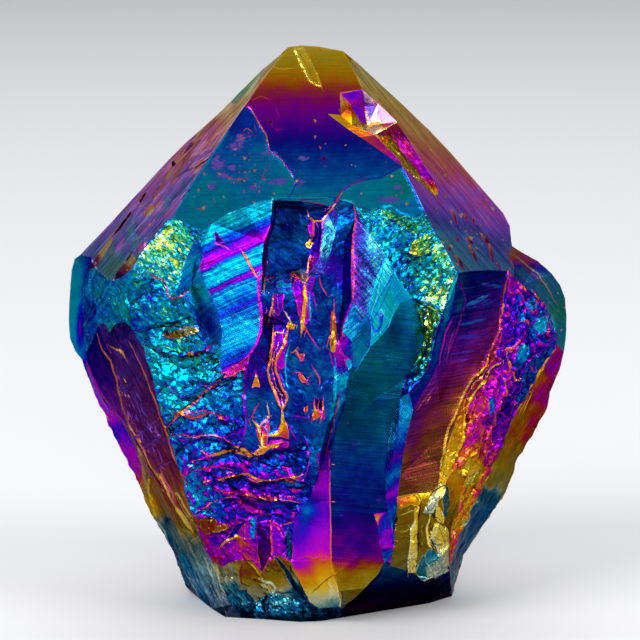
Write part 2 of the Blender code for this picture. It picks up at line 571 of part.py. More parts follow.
NAMED = {"ridge_left": RIDGE_LEFT, "ridge_right": RIDGE_RIGHT}
for side_name, start, side, depth in (
    ("left", RIDGE_LEFT, BACK_LEFT_FACE, 42.2),
    ("right", RIDGE_RIGHT, BACK_RIGHT_FACE, 41.0),
):
    NAMED[f"back_{side_name}_edge_a"] = down_edge(start, side, 17)
    NAMED[f"back_{side_name}_edge_b"] = down_edge(start, side, 29)
    NAMED[f"back_{side_name}_corner"] = down_edge(start, side, depth)


# ---------------------------------------------------------------- skinning
def key(u, v):
    return (round(u, 3), round(v, 3))


def undercuts(lines):
    """A line under each ledge: LEDGE_DROP below its crest on the sheet and LEDGE_BITE mm behind."""
    out = {}
    for name, line in lines.items():
        if "_ledge_" in name:
            full = [c for c in line[1:-1] if len(c) == 3]
            out[name + "_foot"] = [(u + 1, v + LEDGE_DROP, d + LEDGE_BITE) for u, v, d in full]
    return out


class Shell:
    """A sheet of facets over the outline: corners at (u, v), joined by ridge lines."""

    def __init__(self, rim):
        self.index, self.uv, self.xyz, self.edges = {}, [], [], []
        self.rim = [self.add(u, v, p) for u, v, p in rim]

    def add(self, u, v, p):
        k = key(u, v)
        if k not in self.index:
            if p is None:
                raise ValueError(f"corner {k} is used before its depth is given")
            self.index[k] = len(self.uv)
            self.uv.append(Vector((u, v)))
            self.xyz.append(p)
        return self.index[k]

    def line(self, ids):
        self.edges += [e for e in zip(ids, ids[1:]) if e[0] != e[1]]

    def holds(self, p):
        """Whether the outline goes round p."""
        ring = [self.uv[i] for i in self.rim]
        inside = False
        for a, b in zip(ring, ring[1:] + ring[:1]):
            if (a.y > p.y) != (b.y > p.y):
                if p.x < (b.x - a.x) * (p.y - a.y) / (b.y - a.y) + a.x:
                    inside = not inside
        return inside

    def skin(self):
        """Triangles between the lines, as corner numbers."""
        out = delaunay_2d_cdt(self.uv, self.edges, [self.rim], 1, 1e-5, True)
        points, _, faces, origin = out[0], out[1], out[2], out[3]
        number = []
        for i, p in enumerate(points):
            if not origin[i]:
                raise ValueError(f"two lines cross at {tuple(round(c, 1) for c in p)}")
            number.append(origin[i][0])
        faces = [[number[i] for i in f] for f in faces]
        return [f for f in faces if self.holds(sum((self.uv[i] for i in f), Vector((0, 0))) / 3)]


def collect(lines):
    """Depth of every corner that has one; the other mentions of a corner only refer to it."""
    given = {}
    for u, v, d in OUTLINE:
        given[key(u, v)] = corner(u, v, d)
    for line in lines.values():
        for c in line:
            if len(c) == 3 and key(c[0], c[1]) not in given:
                given[key(c[0], c[1])] = corner(*c)
    return given


def build_front():
    lines = {**FRONT_LINES, **undercuts(FRONT_LINES)}
    given = collect(lines)
    shell = Shell([(u, v, given[key(u, v)]) for u, v, _ in OUTLINE])
    for line in lines.values():
        shell.line([shell.add(c[0], c[1], given.get(key(c[0], c[1]))) for c in line])
    return shell


def build_back():
    given = collect({})
    shell = Shell([(u, v, given[key(u, v)]) for u, v, _ in OUTLINE])
    NAMED["outline_left"] = given[key(190, 591)]
    NAMED["outline_right"] = given[key(454, 591)]
    on_outline = {
        "ridge_left": key(288, 47), "ridge_right": key(343, 51),
        "outline_left": key(190, 591), "outline_right": key(454, 591),
    }

    def put(c):
        if c in on_outline:
            return shell.index[on_outline[c]]
        if isinstance(c, str):
            p = NAMED[c]
        elif isinstance(c[2], str):
            p = above(c[0], c[1], BACK_FACES[c[2]])
        else:
            p = Vector(c)
        return shell.add(*to_sheet(p), p)

    for line in BACK_LINES.values():
        shell.line([put(c) for c in line])
    base = BACK_LINES["base_back"]
    shell.line([put("outline_left"), put(base[0])])
    shell.line([put(base[-1]), put("outline_right")])
    return shell


def join(front, back):
    """One closed mesh: the two shells share the outline's corners."""
    points = list(front.xyz)
    rim = {b: f for f, b in zip(front.rim, back.rim)}
    number = {}
    for i, p in enumerate(back.xyz):
        if i in rim:
            number[i] = rim[i]
        else:
            number[i] = len(points)
            points.append(p)
    faces = front.skin() + [[number[i] for i in reversed(f)] for f in back.skin()]
    return points, faces


# ---------------------------------------------------------------- the object
def aura_material():
    """Vapour-coated titanium on quartz: a glossy, metallic blue-violet film."""
    m = bpy.data.materials.new("aura_titanium_film")
    m.use_nodes = True
    b = m.node_tree.nodes["Principled BSDF"]
    b.inputs["Base Color"].default_value = (0.03, 0.16, 0.42, 1)
    b.inputs["Metallic"].default_value = 0.85
    b.inputs["Roughness"].default_value = 0.25
    return m


def main():
    for o in list(bpy.data.objects):
        bpy.data.objects.remove(o, do_unlink=True)
    points, faces = join(build_front(), build_back())
    mesh = bpy.data.meshes.new("amethyst_point")
    mesh.from_pydata([p * 0.001 for p in points], [], faces)
    mesh.validate()
    mesh.materials.append(aura_material())
    crystal = bpy.data.objects.new("amethyst_point", mesh)
    bpy.context.scene.collection.objects.link(crystal)

    bm = bmesh.new()
    bm.from_mesh(mesh)
    bmesh.ops.recalc_face_normals(bm, faces=bm.faces)
    bm.to_mesh(mesh)
    bm.free()
    return crystal


main()
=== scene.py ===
import math

import bpy
import numpy as np
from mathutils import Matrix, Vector


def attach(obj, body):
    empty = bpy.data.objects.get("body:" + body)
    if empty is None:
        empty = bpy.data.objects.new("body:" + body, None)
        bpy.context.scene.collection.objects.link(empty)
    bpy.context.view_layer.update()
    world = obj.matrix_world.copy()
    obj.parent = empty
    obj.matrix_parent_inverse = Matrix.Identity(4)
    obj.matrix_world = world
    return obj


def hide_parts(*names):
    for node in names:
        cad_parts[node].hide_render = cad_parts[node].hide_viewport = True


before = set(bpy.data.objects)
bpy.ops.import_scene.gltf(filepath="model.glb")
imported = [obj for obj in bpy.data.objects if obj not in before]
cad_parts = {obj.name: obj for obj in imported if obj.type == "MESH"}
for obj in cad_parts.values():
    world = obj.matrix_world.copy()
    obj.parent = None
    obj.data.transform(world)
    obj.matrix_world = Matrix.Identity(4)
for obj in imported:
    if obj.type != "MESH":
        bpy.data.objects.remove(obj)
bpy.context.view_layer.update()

# ================================================================ elevation sheet
# Regions of the crystal are named on the same elevation sheet as the CAD part uses: u right,
# v down, UNIT mm per sheet unit, seen from STATION mm away and TILT above the table.
UNIT, CENTRE, STATION, MIDDLE_Z = 0.2125, 320.0, 900.0, 60.4
TILT = math.radians(10.0)
BACKWARD = np.array([0, -math.cos(TILT), math.sin(TILT)])
UPWARD = np.array([0, math.sin(TILT), math.cos(TILT)])
EYE = np.array([0, 0, MIDDLE_Z]) + STATION * BACKWARD


def sheet(p):
    """(u, v) of points in mm."""
    d = p - EYE
    t = STATION / (d @ -BACKWARD)
    return np.stack([CENTRE + d[:, 0] * t / UNIT, CENTRE - (d @ UPWARD) * t / UNIT], 1)


def inside(uv, polygon):
    """Which points lie in the polygon."""
    x, y = uv[:, 0], uv[:, 1]
    poly = np.asarray(polygon, float)
    hit = np.zeros(len(uv), bool)
    for (x0, y0), (x1, y1) in zip(poly, np.roll(poly, -1, 0)):
        if y0 != y1:
            across = (y0 > y) != (y1 > y)
            hit ^= across & (x < (x1 - x0) * (y - y0) / (y1 - y0) + x0)
    return hit


# ================================================================ noise
def hashed(ix, iy, iz, seed):
    """A fixed number from 0 to 1 for each lattice cell."""
    with np.errstate(over="ignore"):
        h = (
            ix.astype(np.int64).astype(np.uint32) * np.uint32(374761393)
            + iy.astype(np.int64).astype(np.uint32) * np.uint32(668265263)
            + iz.astype(np.int64).astype(np.uint32) * np.uint32(2246822519)
            + np.uint32((seed * 3266489917) & 0xFFFFFFFF)
        )
        h = (h ^ (h >> np.uint32(15))) * np.uint32(2246822519)
        h = (h ^ (h >> np.uint32(13))) * np.uint32(3266489917)
        h = h ^ (h >> np.uint32(16))
    return h.astype(float) / 4294967295.0


def value_noise(p, seed):
    """Smooth noise from -1 to 1."""
    i = np.floor(p)
    f = p - i
    f = f * f * f * (f * (f * 6 - 15) + 10)
    total = np.zeros(len(p))
    for dx in (0, 1):
        for dy in (0, 1):
            for dz in (0, 1):
                w = (
                    (f[:, 0] if dx else 1 - f[:, 0])
                    * (f[:, 1] if dy else 1 - f[:, 1])
                    * (f[:, 2] if dz else 1 - f[:, 2])
                )
                total += w * hashed(i[:, 0] + dx, i[:, 1] + dy, i[:, 2] + dz, seed)
    return total * 2 - 1


def fbm(p, scale, seed, octaves=4, gain=0.5):
    """Fractal noise; scale is the largest feature in mm."""
    total, amp, norm = np.zeros(len(p)), 1.0, 0.0
    q = p / scale
    for o in range(octaves):
        total += amp * value_noise(q + 17.3 * o, seed + o)
        norm += amp
        amp *= gain
        q = q * 2.03
    return total / norm


def facets(p, size, seed, stretch=(1, 1, 1)):
    """Height and cell number of hackly facets: each cell of a jittered lattice is one tilted
    plane. Heights are in cell sizes."""
    q = p / (size * np.asarray(stretch, float))
    base = np.floor(q)
    best = np.full(len(p), 1e9)
    pick = np.zeros((len(p), 3))
    centre = np.zeros((len(p), 3))
    for dx in (-1, 0, 1):
        for dy in (-1, 0, 1):
            for dz in (-1, 0, 1):
                c = base + (dx, dy, dz)
                j = np.stack([hashed(c[:, 0], c[:, 1], c[:, 2], seed + k) for k in (1, 2, 3)], 1)
                s = c + 0.1 + 0.8 * j
                d = ((q - s) ** 2).sum(1)
                closer = d < best
                best = np.where(closer, d, best)
                pick[closer] = c[closer]
                centre[closer] = s[closer]
    r = np.stack([hashed(pick[:, 0], pick[:, 1], pick[:, 2], seed + k) for k in (5, 6, 7, 8)], 1)
    tilt = ((r[:, :3] * 2 - 1) * (q - centre)).sum(1)
    return (r[:, 3] - 0.5) * 0.5 + tilt, r[:, 3]


# ================================================================ regions
# Film thickness runs through the interference colours in order: 0.06 silver, 0.16 gold, 0.25
# orange, 0.34 magenta, 0.43 violet, 0.53 deep blue, 0.62 azure, 0.70 cyan, 0.78 sea green,
# 0.85 yellow-green, 0.92 second gold, 1.00 pink. tone scales the colour's brightness: partly how much
# light the film sends back, partly painted light and painted shade of each facet as it is lit.
#
# Each region: outline on the sheet; its film, as a ramp of (place, thickness, tone) along one
# direction (v plus a slope times u - 320, or a pair of weights for u and v), or a few spots
# (u, v, thickness, tone) that blend into each other; and its surface: fac, fac2 = (facet size mm,
# height mm), grain = fine sugary texture 0..1 with painted glints and painted shade in its crevices,
# stri = (slope, spacing mm, strength) of growth lines along v + slope * u = constant, wob = wandering
# of the film, rough = gloss roughness, fine = mesh size mm, pits, wave mm, flow = shingled ground,
# crest = worn edges, their film thinner and brightened by a painted highlight, rim = worn edges with
# thinner film, sfilm = how far the film follows the growth lines, pale = whitening toward grey that
# paints a sheen, the grazing reflection of the backdrop, dash = fine scratches.
R = {}
ORDER = []


def region(name, outline, film=None, ramp=None, fac=(2.0, 0.0), fac2=(0.8, 0.0), grain=0.0,
           stri=(0.0, 1.0, 0.0), wob=0.02, rough=0.22, fine=0.5, pits=0.0, wave=0.0, flow=0.0, crest=0.3,
           sfilm=1.0, pale=0.0, dash=0.0, rim=0.0):
    R[name] = dict(
        outline=outline, film=film, ramp=ramp, fac=fac, fac2=fac2, grain=grain, stri=stri,
        wob=wob, rough=rough, fine=fine, pits=pits, wave=wave, flow=flow, crest=crest,
        sfilm=sfilm, pale=pale, dash=dash, rim=rim,
    )
    ORDER.append(name)


# ---- chip on the front right edge
region("chip_purple", [(351, 91), (362, 89.5), (364, 107), (367, 125), (360, 121), (351, 105), (340, 93)],
       film=[(353, 94, .45, .8), (362, 115, .38, .8), (350, 103, .35, .7)],
       wob=.05, fine=.40, rough=.25, fac2=(.9, .05), crest=.9)
region("chip_gold", [(340, 93), (351, 105), (360, 121), (367, 125), (363, 130), (352, 125), (341, 115)],
       film=[(343, 98, .12, 1.0), (348, 113, .24, .8), (358, 124, .14, 1.0)],
       wob=.05, fine=.40, rough=.25, fac2=(.9, .06), crest=.6)
region("chip_white", [(362, 89.5), (378, 104), (397, 122), (375, 135), (363, 130), (367, 125), (364, 107)],
       film=[(366, 99, .47, 1.05), (369, 118, .10, 1.1), (379, 113, .365, .9), (390, 120, .33, 1.0),
             (376, 132, .10, 1.1)],
       wob=.05, fine=.40, rough=.25, fac2=(.9, .06), crest=.9, pale=.22)
region("chip_lip", [(328, 114), (341, 115), (352, 125), (363, 130), (375, 135), (386, 147), (397, 158),
                    (402, 166), (388, 156), (375, 147), (360, 137), (345, 127)],
       ramp=((1, 0), [(329, .14, 1.0), (346, .19, .9), (364, .25, .85), (380, .31, .85), (400, .36, .8)]),
       wob=.03, fine=.40, rough=.25, crest=.8)
region("chip_gash_gold", [(375, 135), (390, 136), (404, 153), (418, 172), (430, 189), (437, 197),
                          (425, 187), (413, 176), (402, 166), (397, 158), (386, 147)],
       ramp=((-.79, 1), [(-190, .27, .42), (-170, .23, .6), (-160, .15, .95), (-150, .12, 1.0)]),
       wob=.07, fine=.40, rough=.25, fac2=(.8, .10), fac=(1.4, .12), crest=.9, stri=(-1.3, .9, .6))
region("chip_gash_pink", [(397, 122), (410, 142), (422, 162), (431, 176), (438, 188), (437, 197),
                          (430, 189), (418, 172), (404, 153), (390, 136), (375, 135)],
       ramp=((0, 1), [(125, .25, .55), (135, .32, .45), (148, .355, .7), (160, .375, 1.0), (175, .37, .9),
                      (184, .27, .8), (193, .18, .9)]),
       wob=.05, fine=.40, rough=.25, fac2=(.8, .10), fac=(1.4, .10), crest=.9, stri=(-1.3, 1.1, .7))

# ---- left shoulder
region("prism_left", [(70, 256), (91, 257), (89, 272), (84, 287), (82, 303), (83, 320), (84, 338),
                      (86, 351), (84, 362), (60, 362)],
       ramp=((1, 0), [(70, .70, .66), (79, .68, .62), (84, .60, .6), (90, .50, .62)]),
       wob=.04, fine=.7, rough=.2, wave=.05, stri=(1.8, 1.6, .25))
region("chips_left", [(91, 257), (93, 266), (101, 275), (112, 281), (133, 268), (132, 290),
                      (132, 330), (125, 322), (117, 323), (98, 327), (86, 351), (84, 338),
                      (82, 303), (89, 272)],
       film=[(92, 280, .68, .7), (112, 290, .69, .75), (124, 305, .71, .75), (95, 315, .60, .6),
             (104, 318, .66, .6)],
       fac=(2.6, .34), fac2=(1.1, .14), grain=.45, wob=.08, fine=.46, rough=.28,
       stri=(1.7, 1.1, .55), sfilm=1.3)
# the high tones of this ground paint the light falling on it and its glints
region("rough_left_bright", [(172, 218), (193, 229), (203, 231), (201, 245), (193, 243), (185, 262),
                             (180, 279), (176, 291), (168, 300), (152, 285), (133, 268), (140, 256), (148, 245), (160, 230)],
       film=[(175, 226, .85, 1.3), (158, 240, .86, 1.6), (180, 250, .84, 1.3), (196, 236, .74, .85),
             (150, 262, .80, 1.3), (170, 270, .81, 1.25), (150, 278, .68, .8), (172, 290, .74, 1.0)],
       fac=(1.9, .38), fac2=(.8, .18), grain=1.0, wob=.03, fine=.44, rough=.27, pale=.0)
region("rough_left_cyan", [(133, 268), (152, 285), (168, 300), (176, 291), (186, 298), (194, 315),
                           (200, 332), (207, 346), (178, 356), (141, 346), (132, 330)],
       film=[(137, 284, .77, .85), (150, 296, .68, .55), (162, 312, .765, .75), (182, 312, .73, .6),
             (140, 325, .66, .55), (168, 332, .77, .7), (195, 335, .73, .62)],
       fac=(2.0, .38), fac2=(.8, .18), grain=.9, wob=.05, fine=.44, rough=.27)
region("hollow", [(193, 229), (203, 231), (201, 245), (203, 258), (199, 268), (205, 283), (213, 300),
                  (219, 317), (222, 332), (221, 348), (215, 353), (207, 346), (200, 332),
                  (194, 315), (186, 298), (176, 291), (180, 279), (185, 262), (193, 243)],
       film=[(194, 240, .60, .6), (190, 268, .68, .8), (186, 287, .60, .7), (200, 292, .70, .65),
             (212, 325, .62, .6), (212, 345, .66, .6)],
       wob=.05, fine=.50, rough=.25, wave=.10, grain=.2, stri=(.9, .9, .5), fac=(2.6, .10))

# ---- striated left face: bands rise to the right
region("striated_left", [(203, 231), (212, 224), (228, 213), (245, 207), (262, 201), (272, 200), (271, 213), (270, 226), (264, 241), (262, 258),
                         (261, 293), (262, 332), (256, 346), (249, 359), (235, 366), (223, 375),
                         (220, 362), (221, 348), (222, 332), (213, 300), (205, 283), (199, 268),
                         (203, 258), (201, 245)],
       ramp=(.43, [(200, .72, 1.0), (214, .71, 1.05), (222, .70, 1.0), (229, .68, .8), (233, .58, .6),
                   (237, .56, .8), (240, .50, .6), (245, .43, .7), (252, .385, .85), (257, .42, .7),
                   (259, .64, .8), (264, .68, 1.0), (272, .69, 1.0), (279, .66, .9),
                   (282, .40, .8), (285, .40, .75), (288, .62, .95), (296, .64, 1.0), (304, .60, .9),
                   (312, .50, .8), (318, .62, .9), (330, .66, 1.0), (348, .645, .9),
                   (360, .54, .85), (367, .40, .9), (374, .355, .9), (400, .33, .9)]),
       stri=(.43, .85, 1.0), sfilm=.4, wob=.03, fine=.44, rough=.25, grain=.35, fac=(3.0, .06))

# ---- the channel
region("channel_edge_left", [(268, 196), (274, 200), (276, 208), (275, 225), (269, 240), (267, 258), (266, 272),
                             (261, 293), (262, 275), (262, 258), (264, 241), (270, 226), (271, 213)],
       ramp=((0, 1), [(200, .68, .9), (212, .52, .7), (225, .40, .85), (240, .36, .9), (268, .41, .6)]),
       wob=.05, fine=.44, rough=.28, grain=.3)
region("channel_roof", [(272, 200), (300, 201), (330, 206), (340, 200), (334, 207), (328, 214),
                        (322, 221), (315, 221), (308, 213), (300, 209), (276, 208)],
       ramp=((1, 0), [(276, .70, .42), (300, .66, .5), (322, .55, .3), (332, .46, .3)]),
       wob=.04, fine=.44, rough=.25, grain=.2)
region("channel_block", [(276, 208), (300, 209), (308, 213), (309, 228), (314, 238), (310, 247),
                         (309, 258), (309, 273), (300, 269), (285, 270), (266, 272), (267, 258),
                         (269, 240), (275, 225)],
       film=[(290, 220, .58, .18), (278, 250, .585, .24), (300, 262, .56, .18), (304, 235, .59, .28)],
       wob=.05, fine=.44, rough=.32, grain=.42, fac=(1.8, .14), fac2=(.8, .08))
region("channel_slot", [(308, 213), (315, 221), (322, 221), (322, 240), (320, 258), (313, 268),
                        (309, 273), (309, 258), (310, 247), (314, 238), (309, 228)],
       film=[(311, 225, .36, 1.0), (318, 232, .54, .45), (313, 258, .46, .6)],
       wob=.04, fine=.44, rough=.28, grain=.35)
region("channel_wall", [(322, 221), (328, 214), (334, 207), (338, 214), (336, 232), (331, 252),
                        (325, 275), (309, 273), (313, 268), (320, 258), (322, 240)],
       film=[(325, 221, .40, .9), (332, 228, .69, .85), (326, 250, .70, .85), (315, 270, .50, .7)],
       wob=.06, fine=.44, rough=.28, grain=.7, pale=.05)
region("column", [(334, 207), (340, 200), (353, 202), (355, 220), (352, 240), (351, 270), (352, 300),
                  (344, 322), (340, 345), (331, 347), (331, 318), (327, 295), (325, 275), (331, 252),
                  (336, 232), (338, 214)],
       film=[(344, 215, .62, .5), (343, 245, .57, .48), (347, 275, .48, .72), (334, 300, .60, .48),
             (337, 330, .53, .6)],
       wob=.05, fine=.44, rough=.28, grain=.5, fac=(2.2, .10), fac2=(.9, .05))
region("channel_floor", [(261, 293), (266, 272), (285, 270), (293, 272), (300, 280), (305, 286), (309, 273),
                         (325, 275), (327, 295), (331, 318), (332, 335), (331, 347), (336, 362),
                         (333, 380), (332, 400), (329, 422), (322, 447), (318, 470), (314, 488),
                         (302, 480), (306, 472), (309, 458), (305, 443), (292, 449), (280, 445),
                         (268, 452), (256, 455), (243, 446), (244, 425), (246, 400), (246, 372),
                         (249, 359), (256, 346), (262, 332)],
       film=[(280, 288, .61, .5), (272, 320, .50, .42), (316, 310, .59, .45), (260, 365, .50, .4),
             (300, 370, .61, .48), (258, 420, .62, .55), (315, 430, .60, .48), (285, 440, .54, .5)],
       wob=.05, fine=.42, rough=.28, grain=.42, fac=(3.2, .22), fac2=(1.0, .08))

# ---- lower middle: ledges
region("ledges", [(132, 330), (141, 346), (178, 356), (207, 346), (215, 353), (221, 348), (220, 362),
                  (223, 375), (246, 372), (246, 400), (244, 425), (243, 446), (256, 455), (268, 452),
                  (280, 445), (292, 449), (305, 443), (309, 458), (306, 472), (302, 480), (314, 488),
                  (303, 507), (295, 521), (291, 541), (280, 526), (269, 519), (258, 523), (240, 518),
                  (222, 522), (206, 520), (193, 515), (188, 497), (182, 478), (176, 457), (168, 434),
                  (162, 415), (156, 395), (150, 370)],
       film=[(150, 362, .76, .75), (200, 358, .745, .68), (165, 405, .72, .76), (220, 400, .66, .64),
             (195, 440, .64, .85), (240, 440, .57, .65), (225, 475, .55, .62), (298, 468, .62, .8),
             (190, 500, .68, .9), (250, 500, .48, .62), (290, 508, .54, .75)],
       fac=(2.4, .62), fac2=(.85, .12), grain=.5, wob=.045, fine=.45, rough=.25, flow=1.0, crest=1.0,
       rim=1.0)

# ---- right of the channel
region("strip", [(331, 347), (340, 345), (345, 361), (349, 370), (347, 385), (345, 400), (338, 426),
                 (331, 450), (330, 470), (318, 470), (322, 447), (329, 422), (332, 400), (333, 380),
                 (336, 362)],
       ramp=((0, 1), [(350, .37, .85), (364, .42, .8), (374, .68, .85), (392, .66, .8), (405, .69, .85),
                      (425, .64, .7), (445, .57, .6), (462, .46, .6)]),
       wob=.06, fine=.44, rough=.28, grain=.6, fac=(1.6, .12))
region("striated_right", [(353, 202), (362, 224), (371, 234), (379, 246), (385, 255), (378, 271),
                          (372, 291), (368, 312), (360, 324), (352, 300), (351, 270), (352, 240),
                          (355, 220)],
       ramp=((1, 0), [(353, .38, .7), (357, .44, .8), (361, .53, .9), (366, .63, .95), (373, .68, 1.0),
                      (382, .69, 1.0)]),
       stri=(-1.08, .8, 1.0), wob=.07, fine=.42, rough=.26, grain=.7, pale=.05)
region("striated_low", [(352, 300), (360, 324), (362, 340), (352, 357), (345, 361), (340, 345),
                        (344, 322)],
       ramp=((1, -.35), [(222, .365, .85), (229, .42, .85), (236, .60, .9), (245, .69, 1.0), (256, .70, 1.0)]),
       stri=(.8, .8, .8), wob=.05, fine=.42, rough=.24, grain=.5)
region("cyan_face", [(385, 255), (395, 272), (412, 298), (400, 303), (392, 318), (383, 331),
                     (366, 350), (356, 362), (349, 370), (345, 361), (352, 357), (362, 340),
                     (360, 324), (368, 312), (372, 291), (378, 271)],
       ramp=((1, -.45), [(200, .70, 1.1), (228, .72, 1.4), (245, .73, 1.25), (258, .715, 1.0), (264, .67, .95),
                         (280, .69, 1.1)]),
       wob=.02, fine=.50, rough=.22, grain=.15, wave=.05, stri=(-1.5, 1.3, .45), sfilm=.5)
# the low tone of this face paints the dark surroundings that it reflects
region("dark_face", [(412, 298), (420, 316), (424, 338), (418, 358), (407, 378), (400, 398),
                     (392, 420), (388, 441), (385, 470), (386, 498), (388, 512), (374, 514),
                     (378, 527), (380, 545), (384, 562), (378, 574), (365, 588), (351, 601),
                     (342, 610), (341, 606), (339, 591), (335, 575), (331, 560), (331, 530),
                     (330, 470), (331, 450), (338, 426), (345, 400), (347, 385), (349, 370),
                     (356, 362), (366, 350), (383, 331), (392, 318), (400, 303)],
       ramp=(0.06, [(300, .68, .46), (330, .68, .30), (380, .675, .18), (430, .655, .17),
                    (455, .60, .30), (475, .56, .30), (512, .535, .28), (521, .48, .29), (530, .44, .32),
                    (556, .41, .34), (563, .33, .40), (569, .26, .46), (576, .19, .50), (588, .16, .5),
                    (597, .10, .5), (606, .05, .5)]),
       stri=(-.10, 1.6, .45), sfilm=.5, wob=.05, fine=.62, rough=.2, grain=.10, dash=.5)
region("wedge", [(318, 470), (330, 470), (330, 500), (331, 530), (331, 560), (335, 575), (339, 591),
                 (341, 606), (331, 608), (320, 609), (310, 602), (300, 583), (292, 562), (291, 541),
                 (295, 521), (303, 507), (314, 488)],
       ramp=(.25, [(462, .42, .6), (476, .39, .8), (488, .375, .9), (500, .41, .85), (512, .43, .85), (526, .41, .85),
                   (540, .385, .85), (552, .355, .9), (560, .32, 1.0), (566, .26, 1.0), (575, .20, 1.0),
                   (585, .155, 1.0), (594, .09, 1.0), (603, .02, .9), (610, -.05, .8)]),
       wob=.035, fine=.5, rough=.22, grain=.12)
# the high tones round the yellow-green middle of this ground paint the light falling on it and its glints
region("rough_right", [(364, 213), (378, 207), (390, 213), (400, 217), (413, 215), (425, 212), (434, 232),
                       (440, 241), (447, 253), (453, 264), (457, 273), (449, 290), (443, 308), (438, 328),
                       (433, 347), (427, 368), (419, 382), (409, 392), (400, 398), (407, 378), (418, 358),
                       (424, 338), (420, 316), (412, 298), (395, 272), (385, 255), (379, 246),
                       (371, 234), (362, 224), (353, 202)],
       film=[(367, 220, .72, .85), (384, 240, .73, .95), (400, 262, .66, .6), (412, 288, .70, .65),
             (425, 262, .77, .7), (443, 256, .83, 1.2), (436, 288, .865, 1.6), (433, 310, .85, 1.25),
             (430, 338, .855, .95), (427, 362, .79, .7), (408, 388, .60, .42)],
       fac=(1.8, .38), fac2=(.75, .18), grain=1.0, wob=.03, fine=.44, rough=.27, pale=.0)
region("blue_wedge", [(400, 398), (409, 392), (413, 410), (408, 430), (404, 450), (400, 476), (397, 500),
                      (393, 520), (392, 530), (388, 512), (386, 498), (385, 470), (388, 441),
                      (392, 420)],
       ramp=((.9, 1), [(765, .66, .75), (790, .66, .8), (805, .54, .6), (815, .48, .55), (830, .64, .7),
                       (845, .40, .8), (862, .56, .7), (880, .66, .8)]),
       wob=.05, fine=.44, rough=.24, grain=.35, stri=(-1.4, .9, .5))
region("small_chips", [(388, 512), (392, 530), (393, 548), (384, 562), (380, 545), (378, 527), (374, 514)],
       film=[(377, 516, .26, .9), (384, 524, .60, .8), (389, 538, .37, .85), (385, 556, .60, .8)],
       fac=(1.2, .2), wob=.14, fine=.40, rough=.24, grain=.5, rim=1.0)
region("purple_strip", [(457, 273), (449, 290), (443, 308), (438, 328), (433, 347), (427, 368),
                        (419, 382), (409, 392), (413, 410), (425, 390), (436, 371), (442, 350),
                        (449, 325), (454, 300)],
       ramp=((0, 1), [(280, .71, .55), (305, .68, .36), (325, .66, .30), (345, .60, .28), (370, .55, .28),
                      (400, .54, .32)]),
       wob=.06, fine=.46, rough=.25, grain=.35, fac=(1.6, .14), rim=.5)
region("purple_face", [(457, 273), (507, 271), (505, 290), (501, 310), (497, 330), (489, 350),
                       (480, 368), (470, 386), (461, 404), (455, 425), (447, 446), (441, 466),
                       (438, 488), (428, 493), (415, 494), (397, 500), (400, 476), (404, 450),
                       (413, 410), (425, 390), (436, 371), (449, 325), (454, 300)],
       ramp=((.85, 1), [(662, .60, .26), (690, .53, .32), (708, .475, .34), (724, .43, .35), (742, .385, .34),
                        (760, .35, .24), (774, .32, .20), (785, .29, .24), (797, .265, .22), (817, .25, .20),
                        (847, .24, .20), (882, .22, .24)]),
       stri=(.23, 1.5, .8), sfilm=.6, pale=.06, wob=.03, fine=.50, rough=.22, grain=.10, dash=.45)
region("gold_ridge", [(501, 310), (504, 331), (496, 352), (485, 373), (474, 393), (468, 411),
                      (464, 430), (459, 450), (453, 470), (446, 483), (438, 488), (441, 466),
                      (447, 446), (455, 425), (461, 404), (470, 386), (480, 368), (489, 350),
                      (497, 330)],
       ramp=((0, 1), [(315, .40, .7), (345, .35, .5), (375, .31, .34), (395, .30, .34), (410, .25, .5),
                      (425, .215, .7), (450, .21, .75), (468, .17, .85), (482, .13, .95)]),
       fac=(1.6, .30), fac2=(.8, .12), wob=.05, fine=.42, rough=.25, grain=.5, crest=.8)
region("far_rough", [(507, 271), (514, 277), (523, 285), (533, 293), (543, 304), (551, 316), (555, 330),
                     (557, 345), (547, 362), (535, 382), (525, 398), (516, 414), (508, 430),
                     (500, 448), (494, 462), (487, 478), (480, 492), (475, 505), (468, 520),
                     (459, 535), (453, 550), (449, 565), (450, 545), (453, 520), (460, 500),
                     (466, 478), (453, 470), (459, 450), (464, 430), (468, 411), (474, 393),
                     (485, 373), (496, 352), (504, 331), (501, 310), (505, 290)],
       film=[(512, 284, .41, .75), (530, 305, .60, .75), (546, 325, .60, .7), (507, 330, .46, .65),
             (498, 352, .44, .6), (525, 378, .58, .5), (498, 380, .39, .8), (486, 402, .35, .95),
             (500, 425, .42, .5), (474, 432, .29, .75), (462, 480, .19, .8)],
       fac=(2.9, .60), fac2=(1.0, .20), grain=.65, wob=.08, fine=.44, rough=.26, rim=1.0)
region("narrow_face", [(557, 345), (570, 352), (565, 372), (556, 392), (545, 420), (520, 465), (515, 480),
                       (490, 525), (466, 560), (458, 592), (452, 596), (450, 576), (449, 565), (453, 550),
                       (459, 535), (468, 520), (475, 505), (480, 492), (487, 478), (494, 462),
                       (500, 448), (508, 430), (516, 414), (525, 398), (535, 382), (547, 362)],
       film=[(540, 375, .245, .42), (552, 372, .36, .45), (546, 393, .33, .42), (522, 418, .205, .42),
             (534, 424, .275, .38), (504, 454, .175, .42), (491, 478, .12, .36), (485, 497, -.10, .6),
             (479, 516, -.14, 1.1), (462, 544, -.135, 1.2), (456, 566, -.10, .8)],
       fac=(3.5, .16), wob=.03, fine=.6, rough=.25, grain=.3, rim=.4, dash=.5, stri=(1.6, 1.6, .4), sfilm=.4)
region("gold_block", [(397, 500), (415, 494), (428, 493), (438, 488), (446, 483), (453, 470), (466, 478),
                      (460, 500), (453, 520), (450, 545), (449, 565), (441, 575), (433, 577),
                      (424, 581), (416, 575), (410, 572), (402, 569), (390, 566), (393, 548),
                      (395, 521)],
       ramp=((0, 1), [(478, .22, .6), (500, .205, .55), (510, .165, .24), (545, .155, .20), (566, .10, .28)]),
       fac=(3.0, .16), fac2=(1.2, .05), wob=.03, fine=.40, rough=.24, grain=.2, stri=(.35, 1.2, .3))

